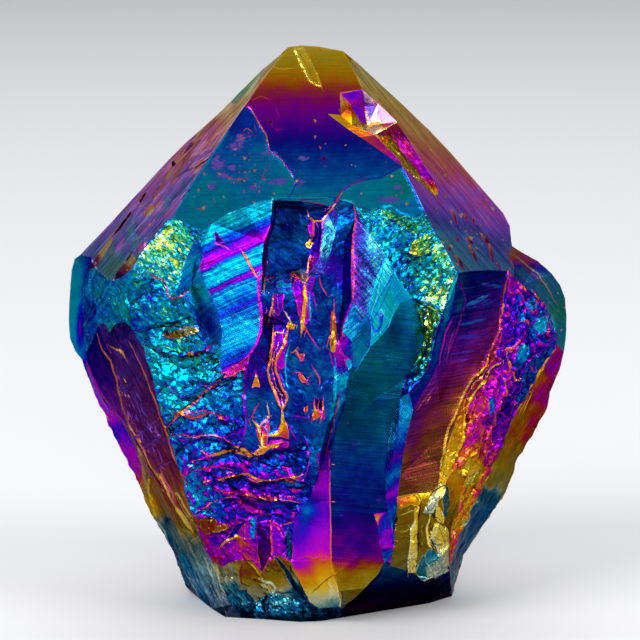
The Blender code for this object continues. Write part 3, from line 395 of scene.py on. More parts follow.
# ---- left side, low
region("left_rim_strip", [(84, 355), (86, 351), (88, 367), (95, 383), (103, 400), (113, 413), (122, 423),
                          (129, 434), (135, 447), (140, 459), (144, 471), (148, 485), (153, 497),
                          (159, 510), (166, 524), (172, 539), (178, 554), (184, 569), (191, 584),
                          (202, 601), (186, 600), (170, 560), (140, 505), (110, 440), (80, 380)],
       ramp=((0, 1), [(360, .54, .9), (376, .44, 1.1), (392, .385, 1.3), (416, .375, 1.3), (428, .46, 1.0),
                      (440, .41, 1.1), (455, .38, 1.1), (472, .36, .9), (482, .27, .8), (495, .19, .75),
                      (508, .165, .75), (517, .08, .4), (526, -.09, .6), (545, -.125, .9), (580, -.14, 1.0),
                      (600, -.17, .6)]),
       fac=(2.0, .16), wob=.04, fine=.46, rough=.24, grain=.3, crest=.8)
region("left_face_outer", [(86, 351), (92, 341), (98, 327), (104, 342), (111, 358), (116, 376), (119, 395),
                           (126, 412), (131, 431), (140, 452), (150, 470), (159, 487), (167, 505),
                           (175, 524), (184, 545), (193, 568), (205, 590), (212, 609), (202, 601),
                           (191, 584), (184, 569), (178, 554), (172, 539), (166, 524), (159, 510),
                           (153, 497), (148, 485), (144, 471), (140, 459), (135, 447), (129, 434),
                           (122, 423), (113, 413), (103, 400), (95, 383), (88, 367)],
       ramp=((0, 1), [(345, .47, .26), (372, .44, .30), (395, .41, .36), (410, .38, .48), (430, .355, .46),
                      (452, .30, .34), (470, .24, .42), (488, .205, .5), (505, .195, .45), (514, .15, .34),
                      (521, -.03, .30), (533, -.04, .5), (550, -.065, .65), (557, -.115, 1.35), (590, -.128, 1.7),
                      (610, -.16, .9)]),
       stri=(-2.0, 1.0, .5), sfilm=.35, wob=.02, fine=.52, rough=.25, grain=.25, fac=(2.6, .14), crest=1.0, dash=.4)
region("left_face", [(98, 327), (104, 323), (110, 332), (117, 323), (125, 322), (132, 330), (141, 346),
                     (150, 370), (156, 395), (162, 415), (168, 434), (176, 457), (182, 478),
                     (188, 497), (193, 515), (200, 535), (207, 551), (213, 562), (217, 577),
                     (223, 592), (233, 604), (243, 611), (240, 618), (225, 617), (212, 609),
                     (205, 590), (193, 568), (184, 545), (175, 524), (167, 505), (159, 487),
                     (150, 470), (140, 452), (131, 431), (126, 412), (119, 395), (116, 376),
                     (111, 358), (104, 342)],
       ramp=((0, 1), [(330, .47, .26), (350, .43, .22), (375, .405, .20), (415, .38, .20), (440, .365, .20),
                      (462, .335, .21), (480, .29, .26), (495, .25, .34), (512, .23, .34), (526, .20, .36),
                      (535, .10, .3), (545, -.04, .32), (556, -.08, .6), (570, -.10, 1.1), (592, -.13, 1.5),
                      (606, -.15, 1.0), (616, -.19, .4)]),
       stri=(-1.9, .9, .7), sfilm=.5, wob=.025, fine=.52, rough=.26, grain=.35, fac=(2.8, .18), crest=1.0, dash=1.0,
       pale=.12)
region("scallops_high", [(193, 515), (206, 520), (222, 522), (240, 518), (258, 523), (269, 519), (280, 526),
                         (291, 541), (292, 562), (280, 556), (271, 560), (262, 572), (250, 560),
                         (236, 561), (224, 566), (213, 562), (207, 551), (200, 535)],
       film=[(210, 530, .34, .35), (214, 544, .405, .7), (218, 556, .36, .7), (228, 532, .46, .4),
             (240, 548, .32, .9), (250, 552, .37, .8), (250, 528, .44, .6), (284, 545, .44, .6)],
       fac=(1.8, .30), fac2=(.8, .16), wob=.11, fine=.40, rough=.25, grain=.5, rim=1.0, crest=.8)
region("scallops_low", [(213, 562), (224, 566), (236, 561), (250, 560), (262, 572), (271, 560), (280, 556),
                        (292, 562), (300, 583), (310, 602), (297, 597), (284, 598), (272, 591),
                        (262, 597), (256, 602), (247, 590), (232, 594), (217, 577)],
       film=[(242, 566, .215, .34), (247, 572, .245, .20), (253, 582, .17, .34), (234, 572, .02, .30),
             (232, 590, -.10, .55), (256, 594, .05, .36), (276, 562, .22, .26), (275, 576, .18, .34),
             (287, 574, .15, .30), (284, 599, -.09, .55), (298, 592, -.14, .75)],
       fac=(2.6, .34), fac2=(1.0, .10), wob=.04, fine=.42, rough=.25, grain=.3, crest=.6, rim=.0)
region("foot", [(217, 577), (232, 594), (247, 590), (256, 602), (262, 597), (272, 591), (284, 598), (297, 597),
                (310, 602), (320, 609), (331, 608), (341, 606), (342, 610), (340, 618), (320, 621), (300, 622),
                (280, 621), (260, 620), (240, 618), (243, 611), (233, 604), (223, 592)],
       ramp=((0, 1), [(578, -.11, .8), (598, -.13, 1.1), (607, -.15, 1.0), (614, -.19, .5), (619, -.22, .25)]),
       fac=(1.8, .34), fac2=(.8, .14), wob=.06, fine=.48, rough=.28, grain=.8)
region("cut_side", [(342, 610), (351, 601), (365, 588), (378, 574), (384, 562), (390, 566), (402, 569), (410, 572),
                    (416, 575), (424, 581), (433, 577), (441, 575), (449, 565), (450, 576), (452, 596),
                    (430, 603), (400, 608), (370, 613), (340, 620)],
       ramp=(.10, [(565, .66, .30), (580, .62, .15), (590, .60, .10), (598, .47, .045), (608, .38, .035),
                   (620, .36, .03)]),
       fac=(3.0, .12), wob=.03, fine=.6, rough=.3, grain=.2)
region("shoulder_right", [(511, 240), (570, 240), (572, 350), (564, 352), (557, 345), (555, 330), (551, 316),
                          (543, 304), (533, 293), (523, 285), (514, 277), (509, 253)],
       film=[(513, 251, .23, .75), (527, 260, .30, .7), (525, 271, .66, .6), (545, 286, .69, .55),
             (558, 312, .77, .55), (562, 340, .71, .42)],
       wob=.03, fine=.62, rough=.22, pits=.3, pale=.10, stri=(-1.0, 1.4, .3))

# ---- the three big front tip faces
region("tip_front",
       [(288, 40), (302, 38), (318, 38), (331, 38), (346, 40), (350, 63), (357, 77), (362, 89.5), (351, 91),
        (340, 93), (341, 115), (328, 114), (345, 127), (360, 137), (375, 147), (388, 156), (402, 166),
        (413, 187), (425, 212), (413, 215), (400, 217), (390, 213), (378, 207), (364, 213), (353, 202),
        (340, 200), (330, 206), (300, 201), (272, 200), (262, 201), (245, 207), (228, 213), (212, 224),
        (203, 231), (193, 229), (182, 223), (172, 218), (182, 201), (190, 187), (200, 172), (213, 153),
        (228, 130), (240, 112), (247, 103), (258, 86), (270, 70), (283, 54)],
       ramp=(0.0, [(46, .145, .95), (62, .165, .78), (72, .195, .82), (79, .225, .82), (86, .262, .66), (92, .295, .60),
                   (100, .333, .56), (110, .37, .57), (122, .41, .57), (131, .45, .6), (140, .50, .62),
                   (152, .55, .66), (172, .60, .74), (188, .645, .74), (197, .70, .74), (210, .74, .68),
                   (232, .75, .6)]),
       wob=.010, fine=.55, rough=.17, pits=.25, wave=.02, stri=(.03, 1.6, .16), crest=.45)
# the high tone and pale whitening of the two side tip faces paint their grazing reflection of the backdrop
region("tip_left",
       [(288, 40), (283, 54), (270, 70), (258, 86), (247, 103), (240, 112), (228, 130), (213, 153), (200, 172),
        (190, 187), (182, 201), (172, 218), (160, 230), (148, 245), (140, 256), (133, 268), (122, 278),
        (112, 281), (101, 275), (93, 266), (91, 257), (68, 258), (60, 250), (180, 120), (260, 40)],
       ramp=(0.0, [(46, .12, 1.55), (66, .15, 1.65), (88, .19, 1.65), (110, .24, 1.6), (132, .30, 1.55),
                   (160, .335, 1.5), (190, .375, 1.4), (215, .41, 1.35), (236, .44, 1.25), (248, .52, 1.0),
                   (260, .645, .75), (275, .69, .6)]),
       stri=(1.15, 1.3, .6), sfilm=1.3, wob=.05, fine=.7, rough=.24, pits=.25, wave=.05, pale=.27, dash=.6)
region("tip_right",
       [(340, 40), (350, 63), (357, 77), (362, 89.5), (378, 104), (397, 122), (410, 142), (422, 162), (431, 176),
        (438, 188), (437, 197), (425, 187), (413, 176), (402, 166), (413, 187), (425, 212), (434, 232),
        (440, 241), (447, 253), (453, 264), (457, 273), (470, 271), (490, 270), (507, 271), (514, 277),
        (514, 265), (509, 253), (506, 244), (518, 236), (500, 190), (420, 100), (350, 40)],
       ramp=((-.35, 1), [(-70, .10, 1.0), (-54, .135, 1.1), (-40, .16, 1.15), (-14, .205, 1.15), (-4, .235, 1.15),
                         (7, .275, 1.2), (21, .32, 1.25), (36, .36, 1.25), (50, .40, 1.2), (61, .46, 1.1),
                         (72, .56, .95), (81, .63, .85), (101, .68, .8)]),
       stri=(-1.2, 1.6, .5), sfilm=.9, wob=.035, fine=.7, rough=.22, pits=.25, wave=.04, pale=.18)

# ---- what the front elevation doesn't show, by height in mm
TIP_BACK = [(118, .14, .55), (110, .17, .5), (103, .24, .42), (97, .32, .38), (90, .39, .36), (84, .46, .38),
            (78, .54, .42), (73, .60, .46), (69, .67, .46), (64, .72, .46)]
SIDE_BACK = [(76, .74, .7), (70, .68, .7), (62, .62, .65), (55, .58, .6), (47, .53, .55), (40, .46, .55),
             (36, .42, .6)]
LOW_BACK = [(48, .58, .6), (40, .62, .7), (32, .56, .6), (26, .47, .6), (20, .41, .6), (15, .34, .7),
            (11.5, .25, .7), (8.5, .17, .6), (6, .08, .6), (4.5, -.04, .55), (3, -.11, .55), (1.6, -.16, .5),
            (0.6, -.21, .4), (0, -.23, .3)]
region("back_tip", [], wob=.03, fine=1.3, rough=.22, pits=.12, wave=.06, stri=(0, 2.0, .2), fac=(3, .03))
region("back_side", [], wob=.05, fine=1.1, rough=.24, pits=.1, wave=.06, stri=(0, 1.6, .8), fac=(4, .12),
       grain=.2)
region("back_low", [], wob=.07, fine=1.0, rough=.27, fac=(3.0, .5), fac2=(1.3, .2), grain=.8)
region("base", [], wob=.01, fine=1.6, rough=.35, crest=0)
INDEX = {n: i for i, n in enumerate(ORDER)}


# ================================================================ meshes in numpy
K = 1 << 22


def edge_table(F):
    """Unique edges as codes, and for each face side its edge's row."""
    e = np.stack([F, np.roll(F, -1, 1)], 2).reshape(-1, 2)
    lo, hi = e.min(1).astype(np.int64), e.max(1).astype(np.int64)
    codes, inverse = np.unique(lo * K + hi, return_inverse=True)
    return codes, inverse.reshape(-1, 3)


def face_normals(V, F, unit=True):
    n = np.cross(V[F[:, 1]] - V[F[:, 0]], V[F[:, 2]] - V[F[:, 0]])
    return n / np.maximum(np.linalg.norm(n, axis=1, keepdims=True), 1e-12) if unit else n


def vertex_mean(F, values, count):
    """Mean over the faces round each vertex."""
    w = np.bincount(F.ravel(), minlength=count)
    if values.ndim == 1:
        return np.bincount(F.ravel(), np.repeat(values, 3), count) / np.maximum(w, 1)
    return np.stack([vertex_mean(F, values[:, k], count) for k in range(values.shape[1])], 1)


def vertex_normals(V, F):
    n = face_normals(V, F, unit=False)
    out = np.stack([np.bincount(F.ravel(), np.repeat(n[:, k], 3), len(V)) for k in range(3)], 1)
    return out / np.maximum(np.linalg.norm(out, axis=1, keepdims=True), 1e-12)


def refine(V, F, lab, crease, length, limit):
    """Splits every edge longer than its region's wanted length. Creases stay creases."""
    while len(F) < limit:
        codes, side = edge_table(F)
        a, b = codes // K, codes % K
        want = np.full(len(codes), 1e9)
        for k in range(3):
            np.minimum.at(want, side[:, k], length[lab])
        long = np.linalg.norm(V[a] - V[b], axis=1) > 1.42 * want
        if not long.any():
            break
        number = np.full(len(codes), -1)
        number[long] = len(V) + np.arange(long.sum())
        V = np.vstack([V, (V[a[long]] + V[b[long]]) / 2])
        was = np.isin(codes[long], crease)
        new = number[long][was]
        crease = np.concatenate(
            [crease, a[long][was] * K + new, b[long][was] * K + new]
        )
        m = number[side]
        out, tags = [], []

        def emit(rows, tri):
            out.append(tri)
            tags.append(lab[rows])

        split = (m >= 0).sum(1)
        rows = np.flatnonzero(split == 0)
        emit(rows, F[rows])
        rows = np.flatnonzero(split == 3)
        f, n = F[rows], m[rows]
        for tri in (
            (f[:, 0], n[:, 0], n[:, 2]), (n[:, 0], f[:, 1], n[:, 1]),
            (n[:, 2], n[:, 1], f[:, 2]), (n[:, 0], n[:, 1], n[:, 2]),
        ):
            emit(rows, np.stack(tri, 1))
        for k in range(3):  # one side split: side k
            rows = np.flatnonzero((split == 1) & (m[:, k] >= 0))
            f, n = F[rows], m[rows]
            x, y, z, q = f[:, k], f[:, (k + 1) % 3], f[:, (k + 2) % 3], n[:, k]
            emit(rows, np.stack([x, q, z], 1))
            emit(rows, np.stack([q, y, z], 1))
            # two sides split: all but side k
            rows = np.flatnonzero((split == 2) & (m[:, k] < 0))
            f, n = F[rows], m[rows]
            x, y, z = f[:, k], f[:, (k + 1) % 3], f[:, (k + 2) % 3]
            p, q = n[:, (k + 1) % 3], n[:, (k + 2) % 3]  # p between y and z, q between z and x
            emit(rows, np.stack([q, p, z], 1))
            first = np.linalg.norm(V[x] - V[p], axis=1) < np.linalg.norm(V[y] - V[q], axis=1)
            emit(rows[first], np.stack([x, y, p], 1)[first])
            emit(rows[first], np.stack([x, p, q], 1)[first])
            emit(rows[~first], np.stack([x, y, q], 1)[~first])
            emit(rows[~first], np.stack([y, p, q], 1)[~first])
        F, lab = np.vstack(out), np.concatenate(tags)
    return V, F, lab, crease


def flip_edges(V, F, lab, crease, passes=10):
    """Turns edges inside one region until the triangles are as regular as they get."""
    rng = np.random.default_rng(7)
    for _ in range(passes):
        codes, side = edge_table(F)
        order = np.argsort(side.ravel(), kind="stable")
        rows = side.ravel()[order]
        first = np.searchsorted(rows, np.arange(len(codes)))
        f1, k1 = order[first] // 3, order[first] % 3
        f2, k2 = order[first + 1] // 3, order[first + 1] % 3
        a, b = F[f1, k1], F[f1, (k1 + 1) % 3]
        c, d = F[f1, (k1 + 2) % 3], F[f2, (k2 + 2) % 3]
        free = (lab[f1] == lab[f2]) & ~np.isin(codes, crease)

        def angle(p, q, r):
            x, y = V[q] - V[p], V[r] - V[p]
            cosine = (x * y).sum(1) / np.maximum(
                np.linalg.norm(x, axis=1) * np.linalg.norm(y, axis=1), 1e-12
            )
            return np.arccos(np.clip(cosine, -1, 1))

        want = free & (angle(c, a, b) + angle(d, a, b) > math.pi + 0.02)
        # the two new triangles must face the way the old ones did
        n1 = np.cross(V[d] - V[a], V[c] - V[a])
        n2 = np.cross(V[c] - V[b], V[d] - V[b])
        old = np.cross(V[b] - V[a], V[c] - V[a]) + np.cross(V[a] - V[b], V[d] - V[b])
        want &= ((n1 * old).sum(1) > 0) & ((n2 * old).sum(1) > 0)
        # and the new edge mustn't be there already
        new = np.minimum(c, d).astype(np.int64) * K + np.maximum(c, d)
        want &= ~np.isin(new, codes)
        if not want.any():
            break
        score = np.where(want, rng.random(len(codes)), 2.0)
        least = np.full(len(F), 2.0)
        np.minimum.at(least, f1, score)
        np.minimum.at(least, f2, score)
        go = want & (least[f1] == score) & (least[f2] == score)
        # two flips round one quadrilateral could make the same edge, so each new edge is unique
        _, keep = np.unique(new[go], return_index=True)
        go = np.flatnonzero(go)[keep]
        F = F.copy()
        F[f1[go]] = np.stack([a[go], d[go], c[go]], 1)
        F[f2[go]] = np.stack([b[go], c[go], d[go]], 1)
    return F


def neighbour_mean(V, F, values):
    codes, _ = edge_table(F)
    a, b = codes // K, codes % K
    count = np.bincount(a, minlength=len(V)) + np.bincount(b, minlength=len(V))
    out = np.stack(
        [np.bincount(a, values[b, k], len(V)) + np.bincount(b, values[a, k], len(V)) for k in range(values.shape[1])],
        1,
    )
    return out / np.maximum(count, 1)[:, None]


# ================================================================ the CAD node as the cage
def cage():
    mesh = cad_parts["amethyst_point"].data
    mesh.calc_loop_triangles()
    co = np.empty(len(mesh.vertices) * 3, np.float32)
    mesh.vertices.foreach_get("co", co)
    tri = np.empty(len(mesh.loop_triangles) * 3, np.int32)
    mesh.loop_triangles.foreach_get("vertices", tri)
    co, tri = co.reshape(-1, 3).astype(float) * 1000, tri.reshape(-1, 3)
    _, first, back = np.unique(np.round(co, 3), axis=0, return_index=True, return_inverse=True)
    V, F = co[first], back.ravel()[tri]
    F = F[(F[:, 0] != F[:, 1]) & (F[:, 1] != F[:, 2]) & (F[:, 2] != F[:, 0])]
    volume = (V[F[:, 0]] * np.cross(V[F[:, 1]], V[F[:, 2]])).sum() / 6
    return V, (F if volume > 0 else F[:, ::-1].copy())


def label_cage(V, F):
    n, middle = face_normals(V, F), V[F].mean(1)
    uv = sheet(middle)
    facing = ((EYE - middle) * n).sum(1) > 0
    lab = np.full(len(F), -1)
    for name in ORDER:
        if R[name]["outline"]:
            hit = facing & (lab < 0) & inside(uv, R[name]["outline"])
            lab[hit] = INDEX[name]
    rest = facing & (lab < 0)
    lab[rest & (middle[:, 2] > 70)] = INDEX["tip_right"]
    lab[rest & (middle[:, 2] > 70) & (uv[:, 0] < 320)] = INDEX["tip_left"]
    lab[rest & (lab < 0)] = INDEX["ledges"]
    behind = ~facing
    lab[behind] = INDEX["back_side"]
    lab[behind & (middle[:, 2] < 44)] = INDEX["back_low"]
    lab[behind & (n[:, 2] > .35) & (middle[:, 2] > 62)] = INDEX["back_tip"]
    lab[n[:, 2] < -.999] = INDEX["base"]
    return lab


# ================================================================ film from control points
def film_at(name, p, uv):
    """(thickness, tone) at points of one region."""
    r = R[name]
    if name in ("back_tip", "back_side", "back_low"):
        table = {"back_tip": TIP_BACK, "back_side": SIDE_BACK, "back_low": LOW_BACK}[name]
        h = np.array(table)[::-1]
        # thickness follows height, with slow drifts round the crystal
        z = p[:, 2] + 5.0 * fbm(p, 34, 31, 2) * np.clip(p[:, 2] / 12, .15, 1)
        return np.interp(z, h[:, 0], h[:, 1]), np.interp(z, h[:, 0], h[:, 2])
    if name == "base":
        return np.full(len(p), -.24), np.full(len(p), .6)
    if r["ramp"]:
        slope, steps = r["ramp"]
        if isinstance(slope, tuple):
            s = slope[0] * uv[:, 0] + slope[1] * uv[:, 1]
        else:
            s = uv[:, 1] + slope * (uv[:, 0] - (230 if name == "striated_left" else 320))
        h = np.array(steps)
        t, tone = np.interp(s, h[:, 0], h[:, 1]), np.interp(s, h[:, 0], h[:, 2])
        return t, tone
    pts = np.array(r["film"], float)
    wt = wo = tt = 0
    for u, v, t, tone in pts:
        w = 1 / ((uv[:, 0] - u) ** 2 + (uv[:, 1] - v) ** 2 + 4.0) ** 1.6
        wt, wo, tt = wt + w * t, wo + w * tone, tt + w
    return wt / tt, wo / tt


# Small features with crisp outlines. A patch is (region or None for any, outline or ellipse
# (u, v, half width, half height), film points, lift in mm). A sunken patch with a low tone is painted shade in its
# hollow.
PATCHES = [
    # the duller left part of the front tip face, below a growth step
    ("tip_front",
     [(238, 106), (250, 108), (258, 122), (266, 135), (268.5, 148), (280, 158), (290, 170), (294, 178),
      (296, 184), (290, 196), (268, 203), (203, 236), (150, 230), (165, 200), (213, 140)],
     [(240, 114, .54, .8), (230, 160, .61, .82), (213, 195, .70, .72), (262, 175, .66, .76),
      (285, 192, .70, .8)], -.13),
    # the blue-green terrace right of the curved step
    ("tip_front",
     [(331, 208), (337, 198), (343, 191), (352, 183.5), (363, 180), (380, 178), (401, 167), (437, 236),
      (400, 219), (353, 205)],
     [(345, 196, .70, .8), (375, 192, .70, .82), (402, 192, .74, .75), (412, 208, .66, 1.0)], -.15),
    # raised growth triangle under the tip
    ("tip_front", [(294, 48), (304, 48), (313, 66), (322, 87), (318, 86), (310, 81), (302, 66)],
     [(300, 56, .13, 1.2), (312, 78, .19, 1.05)], .12),
    # pale green streak along the left edge below the tip
    ("tip_left", [(270, 58), (257, 72), (243, 88), (230, 103), (235, 104), (249, 89), (262, 72)],
     [(250, 80, .855, 1.35), (236, 98, .83, 1.25)], .0),
    # small facets at the foot of the left tip face
    ("tip_left", [(131.8, 242.7), (147, 237.6), (143, 241.6), (138, 245.7), (134, 253), (131, 259)],
     [(135, 246, .665, .95)], .25),
    ("tip_left", [(139, 245.7), (146, 241.6), (145, 250), (138, 255)], [(142, 248, .365, 1.25)], .25),
    # the pale flank of the chip
    ("chip_white", [(363, 91.6), (368, 93), (373, 101), (377, 109), (381, 121), (382.5, 132), (377, 134),
                    (373, 126), (368, 122), (366, 110)], [(367, 102, .45, 1.6), (372, 112, .44, 1.4), (376, 130, .07, 1.2)], .12),
    # smooth green flap and olive scale over the rough ground right of the channel
    (None, [(378, 207), (392, 206), (401, 213), (414, 217), (426, 214), (434, 230), (428, 237), (414, 236),
            (403, 227), (392, 221), (383, 214)],
     [(392, 214, .79, .5), (412, 226, .78, .55), (428, 228, .74, .6)], .30),
    (None, [(413, 241), (420, 237), (430, 236), (434, 244), (431, 254), (424, 256), (415, 256), (408, 253)],
     [(418, 247, .87, .7), (430, 243, .83, .6)], .20),
    # brown lens above the ledges
    (None, [(160, 336), (174, 331), (184, 326), (195, 327), (199, 330), (189, 336), (178, 338), (168, 338)],
     [(170, 335, .22, .2), (183, 332, .03, .36), (194, 329, .12, .45)], .20),
    # channel
    (None, [(300, 200), (335, 198), (332, 207), (318, 205), (305, 206)], [(315, 203, .70, .8)], 0),
    (None, [(309, 218), (313.5, 221), (313, 236), (310, 236), (308, 228)], [(311, 228, .365, 1.1)], .1),
    (None, [(304, 243), (308, 242), (310, 238), (311, 242), (314, 243), (309, 249)], [(309, 243, .12, 1.0)], .1),
    (None, [(296, 273), (308, 273), (305, 283)], [(303, 276, .37, .4)], -.2),
    (None, [(296, 277), (303, 285), (303, 310), (301, 322), (297, 312), (294, 295), (293, 285)],
     [(298, 285, .43, .9), (299, 310, .37, .9)], .1),
    (None, [(306, 286), (312, 278), (316, 277), (311, 290), (309, 305), (309, 320), (305, 327), (306, 305)],
     [(312, 281, .43, .95), (307, 315, .375, .85)], .1),
    (None, [(276, 293), (284, 294), (283, 308), (279, 316), (275, 312)], [(280, 303, .45, .7)], .1),
    (None, [(288, 321), (293, 325), (297, 323), (295, 329), (287, 329)], [(291, 326, .22, .9)], .12),
    (None, [(333, 310), (335, 318), (336, 335), (335, 352), (331, 352), (330, 343), (332, 330)],
     [(333, 335, .18, .8)], .15),
    (None, [(275, 332), (283, 331), (283, 346), (277, 357), (274, 345)], [(279, 342, .45, .5)], -.1),
    (None, [(272, 364), (277, 365), (281, 384), (284, 395), (282, 404), (278, 398), (273, 385)],
     [(275, 372, .42, .5), (280, 395, .52, .2)], -.25),
    (None, [(288, 331), (287, 345), (283, 356), (285, 368), (280, 371), (276, 363), (280, 353), (285, 343)],
     [(285, 345, .40, .95), (280, 362, .375, 1.0)], .12),
    (None, [(256, 372), (258, 380), (260, 388), (256, 386), (251, 388), (254, 380)], [(256, 380, .21, .9)], .15),
    (None, [(282, 412), (285, 420), (288, 430), (289, 439), (280, 435), (270, 436), (276, 431), (281, 424)],
     [(283, 422, .22, .9), (275, 434, .19, .85), (286, 436, .30, .8)], .12),
    (None, [(254, 420), (260, 427), (266, 425), (270, 417), (270, 430), (268, 440), (263, 450), (258, 438),
            (256, 428)], [(260, 430, .34, .8), (266, 436, .27, .8)], .12),
    (None, (277, 443, 10, 5), [(277, 443, .37, .75)], .05),
    (None, [(293, 351), (300, 354), (305, 352), (302, 364), (299, 358)], [(301, 357, .30, .9)], .12),
    (None, [(297, 373), (303, 374), (307, 381), (303, 383), (300, 379)], [(303, 378, .27, .9)], .12),
    (None, [(312, 421), (314, 412), (313, 402), (315, 409), (322, 411), (323, 402), (325, 412), (325, 421),
            (321, 415), (317, 419)],
     [(315, 415, .25, .9), (323, 415, .38, .9)], .12),
    # painted shadow above the raised remnant
    (None, [(315, 399), (323, 399), (323, 409), (320, 411), (315, 408)], [(319, 404, .50, .12)], -.2),
    (None, [(303, 407), (309, 405), (307, 413), (304, 412)], [(306, 409, .3, .85)], .1),
    (None, [(224, 373), (237, 366), (249, 355), (247, 366), (244, 373), (235, 377)], [(240, 367, .33, .85)], .1),
    (None, [(318, 455), (326, 448), (329, 452), (329, 470), (318, 471)], [(324, 462, .44, .6)], 0),
    (None, (281, 285, 9, 4), [(281, 285, .65, .8)], .08),
    # fins above the foot
    (None, [(250, 518), (257, 517), (256, 529), (253.5, 538), (250, 538)], [(253, 528, .64, 1.0)], .2),
    (None, [(245, 522), (250, 518), (250, 538), (246, 538)], [(248, 530, .38, .9)], .2),
    (None, [(200, 519), (208, 517), (216, 520), (216, 530), (209, 534), (201, 530)], [(208, 525, .26, .3)], .3),
    (None, [(217, 526), (224, 523), (228, 526), (222, 531), (217, 532)], [(222, 527, .23, .35)], .15),
    (None, [(225, 540), (236, 524), (247, 519), (240, 530), (229, 543)], [(235, 531, .50, .35)], -.15),
    (None, [(258, 523), (269, 521), (270, 540), (271, 557), (262, 571), (257, 556), (256, 536)],
     [(261, 540, .43, .2), (266, 554, .40, .22)], .1),
    (None, [(270, 523), (279, 529), (286, 545), (287, 559), (280, 555), (272, 557), (271, 540)],
     [(278, 536, .41, .85), (280, 550, .385, .85)], .3),
    (None, [(284, 528), (290, 534), (293, 548), (291, 562), (287, 556), (285, 542)], [(288, 545, .62, .22)], -.2),
    # shards in the broken ground at the far right
    (None, [(509, 275), (514, 279), (521, 286), (516, 292), (508, 290)], [(514, 284, .395, .75)], .3),
    (None, [(501, 327), (508, 321), (513, 327), (511, 338), (505, 343), (499, 342)], [(506, 332, .435, .62)], .35),
    (None, [(514, 347), (521, 344), (530, 347), (525, 358), (515, 373), (511, 366), (513, 355)],
     [(521, 350, .66, .95), (515, 368, .59, .6)], .4),
    (None, [(526, 363), (540, 352), (552, 347), (556, 349), (547, 362), (536, 381), (524, 398), (514, 410),
            (517, 392)], [(540, 360, .585, .5), (522, 392, .57, .42)], .25),
    (None, [(494, 350), (503, 347), (506, 353), (500, 361), (494, 358)], [(500, 354, .44, .62)], .3),
    (None, [(484, 380), (494, 376), (500, 384), (498, 395), (488, 402), (481, 396)], [(490, 390, .355, 1.0)], .35),
    (None, [(490.5, 388), (494, 396), (493.5, 410), (490, 419), (487, 411), (488, 398)], [(491, 402, .63, .95)], .4),
    (None, [(503, 395), (512, 397), (514, 407), (506, 416), (499, 410)], [(507, 405, .45, .32)], .25),
    (None, [(527, 300), (534, 297), (538, 304), (533, 312), (526, 309)], [(532, 304, .63, .85)], .3),
    (None, [(536, 318), (545, 315), (549, 328), (541, 337), (534, 329)], [(541, 326, .68, .85)], .35),
    (None, [(519, 310), (526, 314), (524, 322), (517, 321)], [(521, 316, .60, .8)], .3),
    # lighter facet of the turquoise face: the film of the face, its higher tone a painted highlight
    ("cyan_face", [(385, 256), (394, 271), (386, 286), (378, 300), (372, 312), (366, 322), (370, 300), (376, 276)],
     [(384, 270, .71, 1.5), (372, 305, .70, 1.2)], .22),
    # pale shards at the foot of the long purple face
    (None, [(397, 497), (412, 494), (428, 493), (431, 497), (420, 501), (418, 506), (410, 504), (400, 509),
            (397, 505)], [(402, 501, .25, .8), (422, 497, .18, .9)], .25),
    (None, [(414, 507), (417.8, 507), (417.8, 516), (417, 528), (417, 560), (415.7, 572), (408, 573), (409, 553),
            (410.7, 533), (414, 520)], [(416, 515, .17, .8), (414, 535, .14, 1.1), (412, 565, .09, 1.1)], .5),
    (None, [(436.4, 485.8), (444.7, 484), (444.3, 491.6), (442.2, 497.4), (438, 501.5), (434.8, 508), (434, 513),
            (430, 516.4), (428, 513), (422.7, 513), (426.5, 505.7), (430.6, 498), (434, 491.6)],
     [(441, 488, .10, .8), (434, 498, -.03, 1.0), (437, 499, .06, 1.2), (426, 511, .0, .9)], .45),
    (None, [(444.7, 484), (448.8, 488), (448.8, 505), (444.7, 520), (443.5, 518), (442.2, 503), (444.3, 491.6)],
     [(446, 500, -.05, .35)], .2),
    (None, [(436, 503), (439, 509), (442.2, 514), (443, 520), (442.2, 524.7), (438, 523), (435.6, 519), (435.6, 510)],
     [(438, 513, .14, 1.15)], .4),
    (None, [(434, 524), (442.2, 524.7), (448, 530.5), (447.6, 566), (443, 567), (439.7, 561), (434.8, 547),
            (430.6, 538.8), (432.3, 529.7)],
     [(438, 529, .11, 1.05), (446, 536, .14, 1.1), (440, 545, .07, 1.1), (445, 562, .04, 1.1)], .55),
    (None, [(427.3, 549.6), (432.3, 550.4), (438, 556), (441.4, 564.5), (447.2, 568), (448, 571), (434.8, 578),
            (430, 577), (424.8, 581), (425.2, 569.5), (425.6, 557)],
     [(428, 554, -.12, .9), (429, 562, -.07, 1.1), (438, 568, .0, 1.1), (428, 575, -.01, 1.1)], .35),
    (None, [(424, 553), (425.6, 557), (424.8, 581), (421.5, 579.5), (415.7, 573), (417.3, 568), (420.7, 559.6)],
     [(421, 570, -.09, .7)], .15),
    # yellow-green streak beside the purple face
    (None, [(425, 304.5), (436.8, 306), (439.8, 319), (436, 325), (435.4, 336.7), (431, 350), (428, 363),
            (425.8, 348.5), (425, 326.5)], [(432, 310, .87, 1.1), (430, 340, .84, .95)], .2),
    # lower end of the striated face right of the channel: a shaded facet and a pale facet of one cyan film, their tones
    # painted shade and painted light, and a violet facet
    (None, [(368.5, 315.5), (360, 328), (351.7, 341.2), (352, 356), (352, 368), (357.3, 368), (364, 358),
            (369.6, 345.7), (371, 330)], [(364, 325, .63, .5), (360, 345, .66, .5), (355, 362, .67, .6)], -.05),
    (None, [(353.4, 301), (361, 308), (368.5, 315.5), (361, 327), (351.7, 341.2), (346, 336), (341, 331.2),
            (346, 318)], [(346, 328, .67, 1.4), (352, 318, .64, 1.15), (360, 316, .61, 1.0), (350, 335, .70, 1.45)], .1),
    (None, [(341, 333.4), (346, 337), (351.7, 341.2), (352, 350), (351.7, 360.2), (345, 356), (340, 351.3)],
